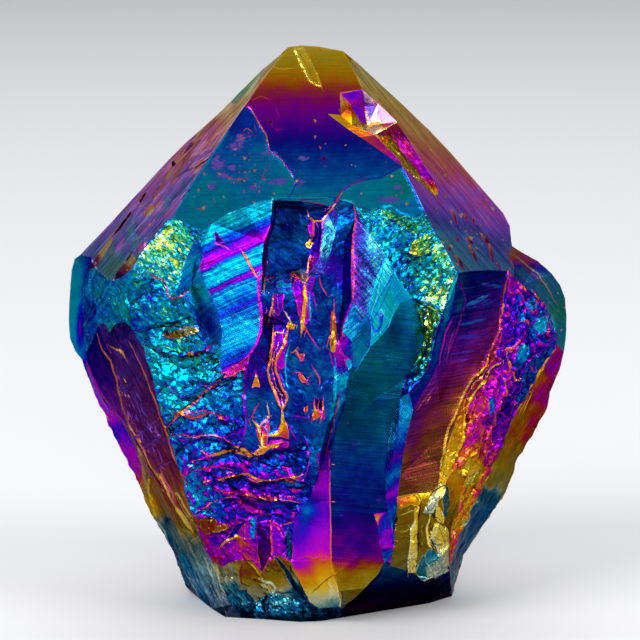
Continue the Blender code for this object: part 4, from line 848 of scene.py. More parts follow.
     [(343, 345, .41, .9), (348, 350, .46, .7), (351, 350, .60, .7)], .03),
    (None, [(371.8, 311), (376, 313), (379.6, 319), (379, 327), (375.8, 333.8), (373, 327), (371, 319)],
     [(375, 320, .72, 1.3)], .05),
    # painted shadow beside the small pale chips
    (None, [(380.5, 318), (383.5, 315), (382, 325), (378.5, 333), (379, 324)], [(380.5, 323, .66, .6)], 0),
    (None, [(377.5, 315.5), (384.5, 311.5), (381, 318)], [(381, 315, .70, 1.6)], .05),
    (None, [(186, 352), (191, 351), (195, 354), (191, 358), (187, 357)], [(190, 354, .23, .7)], .15),
]

# Small marks on top of those: pits, gashes whose dark cores are painted shade, specks.
OVER = [
    (None, [(89, 271), (92, 263), (97, 255), (103, 247), (109, 240), (113, 233), (112, 242), (107, 251),
            (101, 260), (95, 267)],
     [(92, 266, .36, .10), (96, 259, .33, .4), (105, 251, .14, 1.0), (103, 256, .12, 1.0)]),
    (None, [(114, 280), (117, 271), (123, 264), (129, 258), (133, 254), (137, 261), (131, 268), (124, 275)],
     [(117, 275, .40, .12), (123, 269, .30, .35), (131, 262, .15, .95)]),
    ("tip_left", (173, 164, 2.4, 3.2), [(173, 164, .79, .12)]),
    ("tip_left", [(166, 178), (168, 170), (172, 168), (172, 173), (169, 178)], [(169, 173, .19, 1.2)]),
    ("tip_left", [(152, 200), (157, 190), (164, 179), (167, 179), (162, 189), (156, 198)],
     [(160, 189, .25, 1.0), (156, 190, .34, 1.0)]),
    ("tip_left", [(145, 216), (144, 212), (149, 205), (153, 204), (154, 209), (150, 215)],
     [(146, 208, .33, 1.2), (152, 212, .14, 1.3)]),
    ("tip_left", [(154, 208), (159, 203), (164, 201), (160, 206)], [(159, 205, .345, 1.2)]),
    ("tip_left", [(111, 238), (122, 222), (132, 209), (131, 214), (119, 231)], [(120, 225, .28, .05)]),
    ("tip_left", [(138, 203), (142, 196), (146, 191), (146, 194), (141, 202)], [(142, 198, .28, .06)]),
    ("tip_left", [(184, 154), (189, 147), (194, 142), (193, 145), (187, 152)], [(190, 147, .40, .10)]),
    ("tip_front", (270.5, 121.5, 3.4, 2.0), [(270, 121, .50, .07)]),
    ("tip_front", (279, 130, 4.6, 1.1), [(279, 130, .50, .10)]),
    ("tip_front", (324, 159, 1.8, 1.3), [(324, 159, .50, .08)]),
    ("tip_front", [(271, 122), (273, 122), (276, 129), (273, 126)], [(273, 125, .03, 1.1)]),
    (None, [(215, 231), (224, 242), (216, 243)], [(218, 240, .46, .16)]),
]
# Short gashes in the right tip face: (u, v) to (u, v) and their width; the dark spots on one side of each gash are
# painted shade.
for _u0, _v0, _u1, _v1, _w in (
    (451, 209, 457, 224, 3.2), (464, 214, 467, 222, 3.4), (472, 217, 474, 224, 2.8), (456, 236, 458, 241, 3.0),
    (465, 237, 474, 245, 3.6), (481, 234, 489, 245, 5.4), (488, 244, 494, 262, 3.6), (468, 244, 477, 261, 3.6),
    (446, 246, 451, 251, 3.4), (454, 254, 464, 270, 4.6), (496, 262, 501, 270, 2.6),
):
    OVER.append(("tip_right",
                 [(_u0 - _w * .1, _v0 + 1), (_u0 + _w * .4, _v0), ((_u0 + _u1) / 2 + _w * .5, (_v0 + _v1) / 2 - .5),
                  (_u1 + _w * .1, _v1), (_u1 - _w * .15, _v1), ((_u0 + _u1) / 2 - _w * .4, (_v0 + _v1) / 2 + .5)],
                 [(_u0, _v0, .19, .95), ((_u0 + _u1) / 2 - _w * .5, (_v0 + _v1) / 2, .21, .8),
                  ((_u0 + _u1) / 2 + _w * .6, (_v0 + _v1) / 2, .33, .15), (_u1, _v1, .36, .3)]))

# Violet blooms on the front tip face: ellipses (u, v, half width, half height).
BLOOMS = [(218, 163, 9, 10), (222, 175, 7, 5), (212, 186, 6, 6), (232, 168, 6, 4), (279, 181, 13, 5),
          (300, 183, 7, 6), (268, 153, 12, 2.5), (303, 158, 7, 3.5), (255, 187, 8, 3), (389, 200, 14, 5),
          (398, 187, 5, 3), (240, 140, 6, 8), (236, 146, 9, 5)]

# Soft drifts of the film: (region, u, v, half width, half height, thickness, tone), added to both.
DRIFTS = [
    ("striated_right", 375, 248, 9, 13, .03, .5), ("striated_right", 366, 262, 8, 12, -.05, -.2),
    ("column", 347, 285, 5, 40, .0, .3), ("left_face", 115, 355, 14, 30, .0, .05),
    ("dark_face", 413, 324, 9, 24, -.03, .36), ("dark_face", 408, 372, 9, 20, -.02, .14),
    ("dark_face", 386, 420, 8, 60, .0, .08), ("dark_face", 352, 410, 8, 40, .0, -.06),
    ("dark_face", 366, 360, 16, 12, .04, .08), ("dark_face", 360, 480, 26, 26, -.02, .05),
    ("purple_face", 462, 302, 7, 22, .10, -.02), ("purple_face", 440, 350, 7, 26, .07, .0),
    ("purple_face", 474, 378, 10, 10, -.03, .45), ("purple_face", 459, 405, 8, 16, -.03, .25),
    ("purple_face", 416, 430, 12, 28, .05, -.04), ("purple_face", 408, 470, 8, 20, .035, .0),
    ("wedge", 318, 536, 10, 20, -.02, .10), ("wedge", 311, 506, 9, 15, .10, .0), ("wedge", 305, 520, 12, 14, .05, .0), ("wedge", 296, 536, 9, 14, .05, -.05), ("wedge", 305, 572, 10, 14, .04, .0),
    ("wedge", 334, 596, 6, 10, -.04, .15), ("wedge", 322, 575, 7, 12, -.03, .12),
    ("tip_left", 196, 168, 26, 18, -.03, .12), ("tip_left", 250, 92, 12, 14, -.08, .0),
    ("tip_left", 118, 262, 16, 12, .11, -.05), ("tip_left", 150, 236, 22, 14, .09, -.08),
    ("tip_left", 132, 231, 5, 7, .24, .0), ("tip_left", 112, 252, 7, 6, .22, .0),
    ("tip_left", 139, 243, 5, 5, .22, .0), ("tip_left", 142, 248, 3, 4, -.16, .2),
    ("tip_left", 169, 200, 7, 6, .18, .0), ("tip_left", 189, 182, 7, 8, .16, .0),
    ("tip_left", 174, 188, 8, 8, .07, -.1), ("tip_left", 201, 156, 8, 7, .05, .25),
    ("tip_left", 125, 243, 8, 6, -.04, .25), ("tip_left", 149, 227, 9, 6, -.03, .2),
    ("tip_left", 183, 158, 6, 9, -.06, -.2),
    ("tip_left", 226, 112, 14, 10, -.06, .12), ("tip_left", 168, 206, 16, 10, -.05, .05),
    ("tip_right", 380, 78, 20, 22, -.04, -.10), ("tip_right", 468, 190, 18, 22, .02, .12),
    ("tip_right", 450, 236, 26, 16, .05, -.05), ("tip_right", 494, 250, 14, 16, -.05, .0),
    ("left_face", 150, 400, 14, 40, .0, -.04), ("left_face", 190, 502, 10, 22, -.02, .08),
    ("left_face", 226, 596, 8, 10, -.04, .2), ("left_face", 205, 566, 7, 14, .05, .05),
    ("left_face_outer", 186, 580, 8, 14, -.02, .1), ("left_face_outer", 163, 523, 6, 5, -.07, -.14),
    ("ledges", 246, 495, 42, 22, -.05, -.06), ("dark_face", 398, 330, 12, 16, -.05, -.14),
    ("prism_left", 81, 325, 3.5, 18, -.25, .1), ("far_rough", 462, 515, 10, 24, -.05, .1),
    ("hollow", 195, 288, 8, 12, .03, .15), ("hollow", 212, 312, 5, 22, -.03, -.12),
]

# Thin raised seams and crests: points, width in sheet units, thickness, tone, lift in mm. A bright tone along a crest
# is a painted highlight; a dark tone along a sunken line is painted shade in its groove.
LINES = [
    # front tip face: growth step, terrace rim and hem
    ([(250, 108), (258, 122), (266, 135), (268.5, 148), (269, 152)], 1.3, .215, .8, .04),
    ([(269, 152), (280, 158), (290, 170), (293, 176)], .8, .24, .7, .03),
    ([(333, 206), (337, 198), (343, 191), (352, 183.5), (363, 180)], .8, .33, .8, .04),
    ([(270, 196.5), (285, 197.5), (300, 198), (318, 197.5), (335, 198.5)], .9, .74, 1.3, .03),
    ([(283, 199), (300, 200), (320, 204), (334, 208)], .8, .2, .5, .03),
    ([(294, 48), (302, 66), (310, 81), (321, 88)], .9, .10, 1.2, .05),
    ([(303, 47), (313, 66), (322, 88)], .9, .13, 1.1, .05),
    ([(298, 49), (306, 66), (316, 84)], .7, .16, .6, .02),
    ([(253, 99), (262, 96), (269, 99)], .8, .28, 1.1, .02),
    ([(276, 108), (279, 116)], .7, .32, 1.2, .02),
    ([(271, 66), (283, 70), (293, 68)], .7, .13, 1.25, .02),
    ([(243, 131), (247, 127), (252, 133)], .8, .20, 1.1, .02),
    ([(238, 140), (247, 137)], .9, .24, 1.1, .02),
    ([(227, 176), (236, 180), (247, 178)], .8, .22, 1.0, .02),
    ([(262, 180), (264, 172), (268, 168)], .8, .24, 1.0, .02),
    ([(196, 208), (204, 210), (206, 204)], 1.0, .25, 1.0, .03),
    # painted highlight along the right edge of the turquoise face
    ([(396, 302), (389, 326), (379, 337), (370, 347), (363, 358), (357, 369)], 1.2, .69, 1.4, .05),
    ([(356, 266), (365, 275), (374, 285)], 1.0, .62, 1.4, .04),
    ([(356, 268), (365, 277), (374, 287)], 1.0, .47, .3, -.05),
    ([(356, 250), (366, 263), (376, 277)], 4, .50, .4, -.05),
    ([(355, 291), (362, 298), (366, 304)], 1.1, .48, .35, -.05),
    # channel head
    ([(308, 212), (309, 217), (314, 221), (322, 221), (327, 215), (333, 208), (338, 199), (343, 191)], 1.7, .21, 1.0, .12),
    ([(314, 221), (314, 230), (313, 236), (311, 240)], 1.8, .27, 1.1, .12),
    ([(322, 221), (323, 232), (321, 245), (320, 256), (313, 268), (309, 273), (307, 281)], 1.5, .37, 1.0, .1),
    ([(309, 258), (308, 268), (307, 280)], 2.0, .22, 1.0, .12),
    ([(313, 256), (312, 266)], 1.6, .3, .9, .08),
    ([(272, 221), (268, 230), (264, 240), (265, 250), (266, 262), (264, 271), (259, 280), (259, 300),
      (261, 318), (261, 330), (257, 343), (252, 350), (247, 357)], 2.6, .345, 1.0, .12),
    ([(273, 198), (272, 208), (272, 220)], 2.6, .67, 1.8, .1),
    ([(262, 274), (266, 278), (276, 277)], 1.2, .30, 1.0, .08),
    ([(264, 278), (265, 290)], 1.5, .03, 1.0, .08),
    ([(293, 272), (297, 276), (301, 280), (305, 284), (310, 277)], 1.6, .18, 1.2, .12),
    ([(293, 272), (291, 280)], 1.4, .30, 1.0, .08),
    ([(305, 284), (305, 300), (303, 312), (303, 325), (302, 333)], 3.4, .21, 1.15, .2),
    ([(305, 324), (308, 332), (313, 341), (317, 347)], 1.4, .29, 1.0, .08),
    ([(311, 293), (309, 305), (310, 320)], 1.6, .68, 1.3, .05),
    ([(274, 296), (273, 305), (270, 313), (268, 322)], 2.0, .21, 1.0, .15),
    ([(273, 305), (275, 312)], 1.4, .2, 1.0, .1),
    ([(284, 293), (283, 309)], 1.3, .33, 1.0, .1),
    ([(285, 312), (290, 320), (293, 325)], 1.5, .05, 1.0, .1),
    ([(320, 277), (322, 286), (327, 295)], 1.5, .28, 1.0, .1),
    ([(313, 293), (315, 308)], 1.4, .33, .9, .1),
    ([(334, 299), (334, 312), (336, 330), (336, 348)], 1.4, .26, 1.0, .1),
    ([(332, 308), (331, 325), (331, 336), (327, 347)], 1.4, .27, 1.0, .1),
    ([(338, 283), (338, 290), (336, 303)], 1.2, .62, 1.1, .05),
    ([(346, 246), (349, 256), (350, 262)], 1.5, .40, .8, .05),
    # column's right edge
    ([(354, 205), (356, 216), (356, 224), (353, 236), (353, 250), (354, 265), (354, 285), (353, 300)], 1.7, .30, 1.0, .12),
    ([(353, 300), (347, 313), (343, 325), (340, 345), (345, 361), (347, 370)], 1.6, .36, .9, .1),
    ([(340, 200), (347, 201), (354, 203), (360, 211), (367, 219)], 1.3, .72, 1.4, .06),
    # channel spikes
    ([(273, 325), (273, 335), (271, 350), (270, 360), (268, 370), (269, 380), (274, 390), (278, 400), (282, 409)],
     2.5, .24, 1.05, .2),
    ([(289, 324), (287, 335), (283, 345), (278, 353), (275, 362), (276, 372), (280, 382), (284, 392), (287, 397),
      (285, 403), (282, 410)], 2.3, .23, 1.05, .2),
    ([(289, 345), (285, 358), (285, 372), (288, 388)], 1.4, .68, 1.3, .05),
    ([(276, 333), (281, 333)], 1.2, .12, 1.0, .05),
    ([(282, 410), (283, 420), (281, 430), (277, 434), (268, 435)], 2.6, .18, 1.1, .2),
    ([(251, 417), (253, 410), (257, 404)], 1.5, .29, 1.0, .1),
    ([(253, 420), (258, 426), (260, 432), (262, 440), (263, 448)], 2.0, .14, 1.0, .12),
    ([(261, 425), (264, 421), (269, 416)], 1.9, .25, 1.0, .1),
    ([(267, 404), (269, 415)], 1.2, .05, 1.0, .08),
    ([(266, 427), (270, 433), (277, 430)], 1.3, .68, 1.2, .05),
    ([(236, 449), (250, 452), (256, 455), (263, 452), (271, 446), (280, 445)], 2.0, .19, 1.0, .15),
    ([(292, 352), (296, 349), (299, 354)], 1.6, .22, 1.0, .1),
    ([(296, 373), (300, 372), (303, 378), (306, 382), (309, 378)], 1.6, .3, 1.0, .1),
    ([(312, 367), (316, 373), (319, 378), (320, 385)], 1.4, .28, 1.0, .1),
    ([(314, 400), (314, 410), (312, 421)], 1.5, .27, 1.0, .1),
    ([(323, 400), (323, 411), (321, 421)], 1.5, .24, 1.0, .1),
    ([(294, 416), (303, 417), (308, 419)], 1.3, .38, .9, .08),
    ([(288, 425), (292, 433), (296, 440)], 1.4, .37, .9, .08),
    ([(306, 440), (309, 455), (308, 465), (305, 476)], 1.5, .35, .9, .1),
    ([(247, 360), (245, 375), (244, 400), (246, 420), (243, 440)], 1.7, .38, 1.0, .1),
    ([(335, 360), (335, 380), (334, 400)], 3.0, .68, 1.3, .05),
    ([(340, 394), (337, 408), (333, 425), (330, 440), (326, 456)], 1.2, .24, .8, .08),
    ([(330, 352), (332, 362), (338, 370)], 1.8, .36, .9, .08),
    ([(372, 232), (380, 247), (388, 262), (396, 276), (404, 289), (411, 298)], 1.3, .73, 1.4, .08),
    ([(377, 316), (380, 308), (383, 314)], 1.4, .70, 1.7, .05),
    ([(386, 262), (380, 280), (376, 300), (370, 318)], 1.2, .70, 1.7, .05),
    ([(392, 282), (384, 300), (372, 322)], 1.0, .64, .6, -.03),
    ([(355, 240), (363, 249), (373, 260)], .9, .55, .25, -.06),
    ([(355, 246), (364, 256), (375, 268)], .8, .55, .3, -.06),
    ([(355, 252), (364, 262), (374, 273)], 1.0, .54, .22, -.06),
    ([(355, 259), (363, 268), (372, 278)], .8, .55, .3, -.06),
    ([(355, 265), (362, 273), (370, 283)], 1.0, .54, .22, -.06),
    ([(355, 273), (361, 280), (368, 288)], .8, .54, .3, -.06),
    ([(355, 281), (360, 287), (366, 294)], .9, .52, .25, -.06),
    # main ridge
    ([(330, 470), (330, 500), (331, 530), (331, 560), (335, 575), (339, 591), (341, 604)], 1.2, .24, 1.0, .06),
    # gash in the striated face
    ([(242, 252), (247, 259), (250, 266), (254, 272), (257, 277)], 2.4, .24, .9, -.1),
    ([(216, 244), (222, 246), (229, 249)], 1.2, .27, .8, .05),
    # seams and streaks in the left tip face
    ([(213, 154), (208, 158), (203, 162), (193, 168)], 1.3, .28, .15, -.15),
    ([(205, 164), (198, 168), (190, 173)], 1.0, .25, 1.1, .05),
    ([(193, 168), (187, 170), (181, 174)], 1.4, .50, 1.0, -.05),
    ([(163, 181), (157, 190), (153, 199)], 1.0, .47, .5, -.1),
    ([(131, 207), (123, 218), (112, 233), (104, 243), (93, 256)], 1.0, .64, 1.3, .05),
    ([(190, 189), (186, 193), (182, 198)], 1.4, .30, .5, -.1),
    ([(190, 190), (188, 192)], 1.2, .24, 1.1, .05),
    ([(142, 224), (138, 229), (135, 233)], 1.2, .30, .4, -.1),
    ([(172, 197), (166, 202), (162, 207)], 1.2, .67, 1.1, .0),
    ([(165, 218), (158, 226), (152, 232)], 1.0, .50, .4, -.05),
    ([(132, 252), (128, 257), (126, 262)], 1.6, .40, .12, -.15),
    ([(228, 131), (213, 154), (200, 173), (190, 188), (182, 202), (172, 219), (162, 231), (150, 243)],
     2.0, .665, 1.1, .05),
    ([(200, 140), (190, 152), (182, 163)], 2.6, .29, .75, .0),
    ([(171.6, 167), (161.4, 181.4), (147, 201.8)], 2.4, .36, 1.15, .0),
    ([(210, 151), (192, 161), (180, 172)], 4.4, .385, 1.2, .0),
    ([(197, 140.6), (182, 167), (170, 183)], 3.4, .29, 1.0, .0),
    ([(192, 168), (182, 173.3), (175.7, 177.3)], 1.5, .52, .9, .0),
    ([(194, 175), (182, 189.6), (171.6, 199.8)], 3.8, .53, .95, .0),
    ([(171.6, 201.8), (163.5, 212), (155.3, 220)], 3.0, .63, .95, .0),
    ([(157, 216), (147, 228.4), (141, 234.5)], 4.6, .385, 1.3, .0),
    ([(134, 217), (131, 232), (124, 242.7)], 3.2, .67, .95, .0),
    ([(128, 235.5), (118.6, 247.8), (115.5, 253)], 3.8, .37, 1.3, .0),
    ([(116.5, 237.6), (110.4, 247.8), (103.5, 262)], 2.8, .66, .95, .0),
    ([(160, 190), (150, 203), (139, 214)], 1.6, .47, 1.1, .0),
    ([(148, 196), (138, 206), (126, 220)], 1.8, .42, 1.3, .0),
    ([(219.6, 117), (207.3, 129.4), (202.2, 135.5)], .9, .32, .7, .0),
    ([(212, 116), (203, 128), (192, 142)], 2.0, .20, 1.5, .0),
    ([(193, 140.6), (188, 147), (184, 153)], 1.1, .33, .35, -.05),
    ([(217.6, 135.5), (212.4, 141.6)], 1.0, .33, .35, -.05),
    ([(505, 246), (509, 256), (514, 267)], 1.6, .27, .8, -.05),
    ([(516, 256), (526, 264), (538, 274), (548, 288), (556, 303)], 1.3, .10, .8, -.08),
    ([(517, 260), (528, 270), (539, 281)], 1.2, .33, .8, -.05),
    # creases of the left prism
    ([(97, 334), (102, 349), (111, 361), (116, 378), (120, 399), (129, 424), (140, 443), (148, 460), (157, 475),
      (165, 490)], 1.5, .215, .75, .1),
    ([(110, 346), (121, 351), (126, 360)], 1.6, .20, .8, .1),
    ([(129, 342), (144, 372), (155, 402), (163, 425), (174, 456), (186, 486)], 1.4, .24, .6, .08),
    ([(86, 361), (92, 376), (100, 391), (110, 405), (127, 427)], 2.2, .355, .9, .1),
    ([(138, 446), (142, 464), (145, 478), (151, 498)], 2.4, .17, .9, .12),
    ([(161, 470), (166, 482), (173, 492), (177, 503)], 1.8, .30, .9, .08),
    ([(176, 506), (184, 516), (192, 528)], 2.0, .17, .9, .1),
    ([(121.6, 387.4), (128, 398.4)], .9, .43, .8, .05), ([(131, 401.6), (136, 409.5)], .9, .44, .8, .05),
    ([(135.8, 414), (139, 420.5)], 1.0, .42, .9, .05), ([(142, 408), (146.8, 417.4)], .9, .44, .8, .05),
    ([(146.8, 422), (151.6, 431.6)], .9, .42, .9, .05), ([(128, 411), (132, 419)], .9, .41, .8, .05),
    ([(116.8, 374.7), (121.6, 382.6)], .9, .46, .7, .05), ([(137.4, 393.7), (141.5, 401.6)], .9, .44, .8, .05),
    ([(154.7, 426.8), (158, 436.3)], 1.0, .39, .8, .05), ([(139, 430), (142.7, 439.5)], .9, .42, .8, .05),
    ([(151.6, 442.6), (154.7, 452)], .9, .40, .8, .05), ([(159.5, 452), (162.6, 461.6)], .9, .38, .7, .05),
    ([(133, 440), (144, 431), (155, 421)], 2.4, .43, .42, .0), ([(140, 452), (150, 444), (161, 436)], 2.0, .41, .36, .0),
    ([(118, 392), (130, 384), (140, 376)], 2.0, .45, .36, .0), ([(150, 476), (160, 468), (170, 462)], 2.0, .37, .4, .0),
    # worn rims of the ledges
    ([(165, 427), (178, 415), (190, 405), (198, 396), (210, 388), (223, 379)], 2.4, .245, .85, .3),
    ([(175, 413), (194, 416), (214, 413), (231, 419)], 1.8, .27, .7, .2),
    ([(188, 356), (202, 351), (214, 344)], 1.5, .30, .7, .1),
    ([(213, 455), (226, 452), (238, 454), (250, 456), (262, 448), (281, 442)], 2.6, .215, .9, .25),
    ([(225, 480), (236, 476), (246, 474), (258, 479), (268, 481), (283, 478), (301, 483)], 2.4, .235, .8, .25),
    ([(214, 490), (228, 493), (240, 491), (257, 497)], 1.8, .30, .7, .15),
    ([(178, 438), (188, 447), (194, 466)], 1.6, .42, .9, .1),
    ([(196, 470), (212, 466), (228, 470)], 1.6, .29, .7, .15),
    ([(268, 500), (280, 496), (294, 498)], 1.6, .30, .7, .15),
    # the two gold edges of the narrow maroon step, and the crest above it
    ([(509, 272), (505, 286), (502, 308), (499, 328), (491, 348), (487, 357)], 1.3, .25, .75, .12),
    ([(487, 357), (485, 366), (479, 373), (472, 378), (465, 391), (460, 403), (455, 416), (448, 427),
      (445, 440), (443, 455), (440, 468)], 2.4, .19, 1.0, .25),
    ([(500, 363), (492, 369), (480, 385), (473, 397), (468, 406), (463, 430), (459, 449), (454, 464)],
     2.2, .175, 1.05, .25),
    # outlines of the far shards
    ([(533, 291), (537, 299), (535, 304)], 1.7, .27, .95, .2),
    ([(520, 322), (526, 320), (529, 328)], 1.5, .27, .95, .2),
    ([(501, 352), (510, 347), (519, 339)], 2.0, .25, 1.0, .25),
    ([(505, 351), (508, 362), (510, 372), (514, 381), (520, 379)], 2.0, .23, 1.0, .25),
    ([(545, 303), (546, 320), (546, 335)], 1.6, .32, .9, .2),
    ([(533, 343), (534, 352)], 1.5, .35, .9, .2),
    ([(526, 370), (530, 366), (534, 372)], 1.4, .30, .95, .15),
    ([(503, 378), (506, 386), (505, 396)], 1.4, .24, .9, .2),
    ([(491, 428), (495, 416), (497, 414), (496, 428)], 1.5, .20, 1.0, .2),
    ([(516, 288), (522, 296), (525, 306)], 1.4, .31, .9, .2),
    # right rim of the narrow face, and its worn streaks
    ([(553, 353), (546, 362), (538, 376), (527, 394), (517, 412)], 1.3, .16, .9, .12),
    ([(532, 394), (528, 402), (523, 412)], 1.1, .14, .9, .08),
    # dark teal strip left of the long purple face
    # painted cyan highlight at the top of the strip
    ([(457, 275), (451, 290), (447, 301)], 2.4, .745, 1.35, .1),
    ([(452, 318), (446, 331), (441, 350), (439, 366)], 1.2, .35, .8, .1),
    ([(453, 330), (449, 345), (446, 362)], 1.0, .34, .7, .08),
    ([(459, 278), (466, 300), (457, 330), (449, 352)], 1.2, .36, .5, .05),
    # blue growth stripes across the long purple face
    ([(480, 283), (491, 285), (502, 287)], 3.4, .585, .55, .05),
    ([(466, 305), (475, 302), (487, 296)], 4.0, .615, .85, .05),
    ([(484, 305), (494, 301), (500, 299)], 2.2, .50, .6, .05),
    ([(460, 325), (470, 323), (484, 320)], 3.2, .575, .75, .05),
    ([(462, 313), (478, 311), (492, 308)], 2.6, .45, .25, -.05),
    ([(459, 338), (468, 337), (481, 335)], 3.2, .47, .75, .05),
    ([(455, 331), (468, 329), (480, 328)], 2.0, .40, .2, -.05),
    ([(452, 354), (461, 353), (473, 351)], 1.5, .46, .9, .05),
    ([(452, 361), (460, 360), (468, 359)], 1.3, .44, .7, .05),
    ([(417, 410), (425, 399), (433, 389)], 1.1, .30, .75, .05),
    ([(427, 403), (431, 395)], 1.0, .22, .9, .05),
    ([(402, 456), (416, 451), (430, 446)], 1.2, .24, .12, -.05),
    ([(403, 470), (417, 465), (432, 459)], 1.2, .26, .12, -.05),
    # edges of the pale shards
    ([(414, 520), (410.7, 533), (409, 553), (408.3, 573)], 1.1, .02, 1.35, .1),
    ([(439, 508), (443, 516.4), (443.5, 521.4)], 1.1, .02, 1.4, .1),
    ([(431.4, 530), (431.4, 539), (435.6, 547), (441.4, 563)], 1.1, -.02, 1.35, .1),
    ([(430, 517), (427.3, 526.4), (426.5, 536.3), (428, 544), (431.4, 549)], 1.9, .08, 1.2, .2),
    ([(432.7, 527), (429, 535.5)], 1.1, .2, .1, -.1), ([(434.5, 508), (435, 518)], 1.0, .2, .12, -.1),
    ([(417.8, 512), (417.3, 540), (417.4, 566)], 1.0, .18, .2, -.1),
    ([(401, 515), (407, 513), (413, 510)], .8, .14, 1.0, .05), ([(402, 532), (406, 531), (410, 529)], .7, .14, .9, .05),
    ([(430, 535), (437, 539), (446, 542)], .7, .18, .5, -.05), ([(434, 521), (440, 525), (447, 531)], .7, .2, .5, -.05),
    ([(427, 562), (431, 570), (436, 575)], 1.0, .02, 1.4, .05),
    # bright streaks in the lower left face
    ([(160, 475), (165, 487), (174, 504)], 2.3, .20, 1.05, .2),
    ([(160, 478), (167, 493), (173, 502)], 1.2, .36, 1.0, .05),
    ([(178, 493), (184, 503), (192, 518)], 1.9, .15, 1.0, .2),
    ([(176, 508), (185, 521), (194, 532)], 2.1, .16, 1.0, .2),
    ([(149, 479), (149, 492), (151, 503)], 2.6, .13, 1.0, .2),
    ([(142, 480), (143, 492)], 3.0, .24, .9, .15),
    ([(152, 505), (156, 517)], 2.4, .15, 1.0, .15),
    ([(139, 449), (143, 465), (146, 479)], 2.8, .205, .85, .15),
    ([(158, 521), (166, 533), (172, 552)], 1.4, .06, .95, .15),
    ([(205, 558), (212, 575), (217, 590), (221, 600)], 1.8, .0, 1.0, .15),
    ([(212, 564), (219, 580), (226, 594)], 1.4, .08, .7, .1),
    # ridges of the fins and scallops at the foot
    ([(270, 523), (271, 540), (271.5, 557)], 1.8, .30, .95, .15),
    ([(251, 564), (256, 569), (261, 575)], 1.9, .17, .95, .2),
    ([(241, 564), (241, 574), (243, 586)], 1.3, .30, .25, -.15),
    ([(262, 580), (266, 583), (271, 582), (276, 588), (274, 592)], 1.9, -.01, 1.3, .2),
    ([(263, 586), (268, 589), (270, 592)], 1.9, .06, 1.2, .15),
    ([(277, 557), (284, 566), (294, 584), (308, 603)], 4.4, -.20, .5, .1),
    ([(286, 576), (296, 588), (306, 599)], 1.3, -.12, 1.3, .15),
    ([(276, 592), (284, 593), (293, 592)], 1.0, -.19, .4, -.1),
    ([(266, 603), (271, 601), (277, 602), (282, 605)], 1.5, -.12, 1.6, .15),
    ([(266, 596), (262, 603), (263, 611)], 2.4, -.25, .3, -.2),
    ([(303, 606), (304, 612), (303, 618)], 2.4, -.25, .3, -.2),
    ([(216, 566), (219, 578), (223, 590)], 1.6, .03, .9, .15),
    ([(226, 572), (229, 584), (234, 592)], 1.4, -.03, 1.0, .1),
    # shards of the clear wedge
    ([(313, 592), (324, 582), (335, 574)], 1.2, .20, .5, -.1),
    ([(328, 582), (332, 588), (330, 598)], 2.2, .04, 1.15, .15),
    ([(340, 592), (341, 600), (340, 606)], 1.6, .03, 1.4, .1),
    ([(300, 558), (308, 556), (313, 560), (320, 558)], 1.2, .30, .7, .1),
    ([(212, 532), (219, 531), (227, 527)], 1.6, .21, .9, .15),
    ([(221, 547), (228, 540), (236, 535), (242, 537)], 2.0, .19, 1.0, .2),
    # orange ledge in the bright rough ground
    ([(150, 275), (158, 279), (166, 281), (168, 290), (169, 297), (174, 299), (181, 297), (188, 291)], 1.6, .25, .9, .15),
]


# Where the coat is pitted: ellipses (u, v, half width, half height, density).
PITTED = {
    "tip_front": [(240, 141, 15, 17, 1.0), (258, 178, 34, 17, .75), (205, 200, 24, 8, .7), (296, 178, 16, 9, .6),
                  (385, 195, 40, 14, .35), (325, 68, 30, 14, .2)],
    "tip_left": [(150, 205, 60, 45, .5), (210, 130, 40, 40, .3)],
    "tip_right": [(470, 238, 36, 34, .6), (420, 120, 50, 60, .25)],
    "shoulder_right": [(535, 280, 40, 40, .4)],
}


def distance_inside(uv, polygon):
    """Distance to the outline in sheet units, positive inside."""
    poly = np.asarray(polygon, float)
    best = np.full(len(uv), 1e9)
    for a, b in zip(poly, np.roll(poly, -1, 0)):
        ab = b - a
        t = np.clip(((uv - a) @ ab) / (ab @ ab), 0, 1)
        best = np.minimum(best, np.hypot(*(uv - a - t[:, None] * ab).T))
    return np.where(inside(uv, poly), best, -best)


def patch_at(p, uv, shape, ragged=1.1):
    """Distance in mm inside a patch, with a slightly ragged outline."""
    q = uv + ragged * np.stack([fbm(p, 2.6, 90, 3), fbm(p, 2.6, 93, 3)], 1)
    if isinstance(shape, tuple):  # a ragged ellipse
        u, v, a, b = shape
        out = 1 - np.hypot((q[:, 0] - u) / a, (q[:, 1] - v) / b) + 0.9 * fbm(p, 1.6, 96, 3)
        return out * min(a, b) * UNIT
    return distance_inside(q, shape) * UNIT


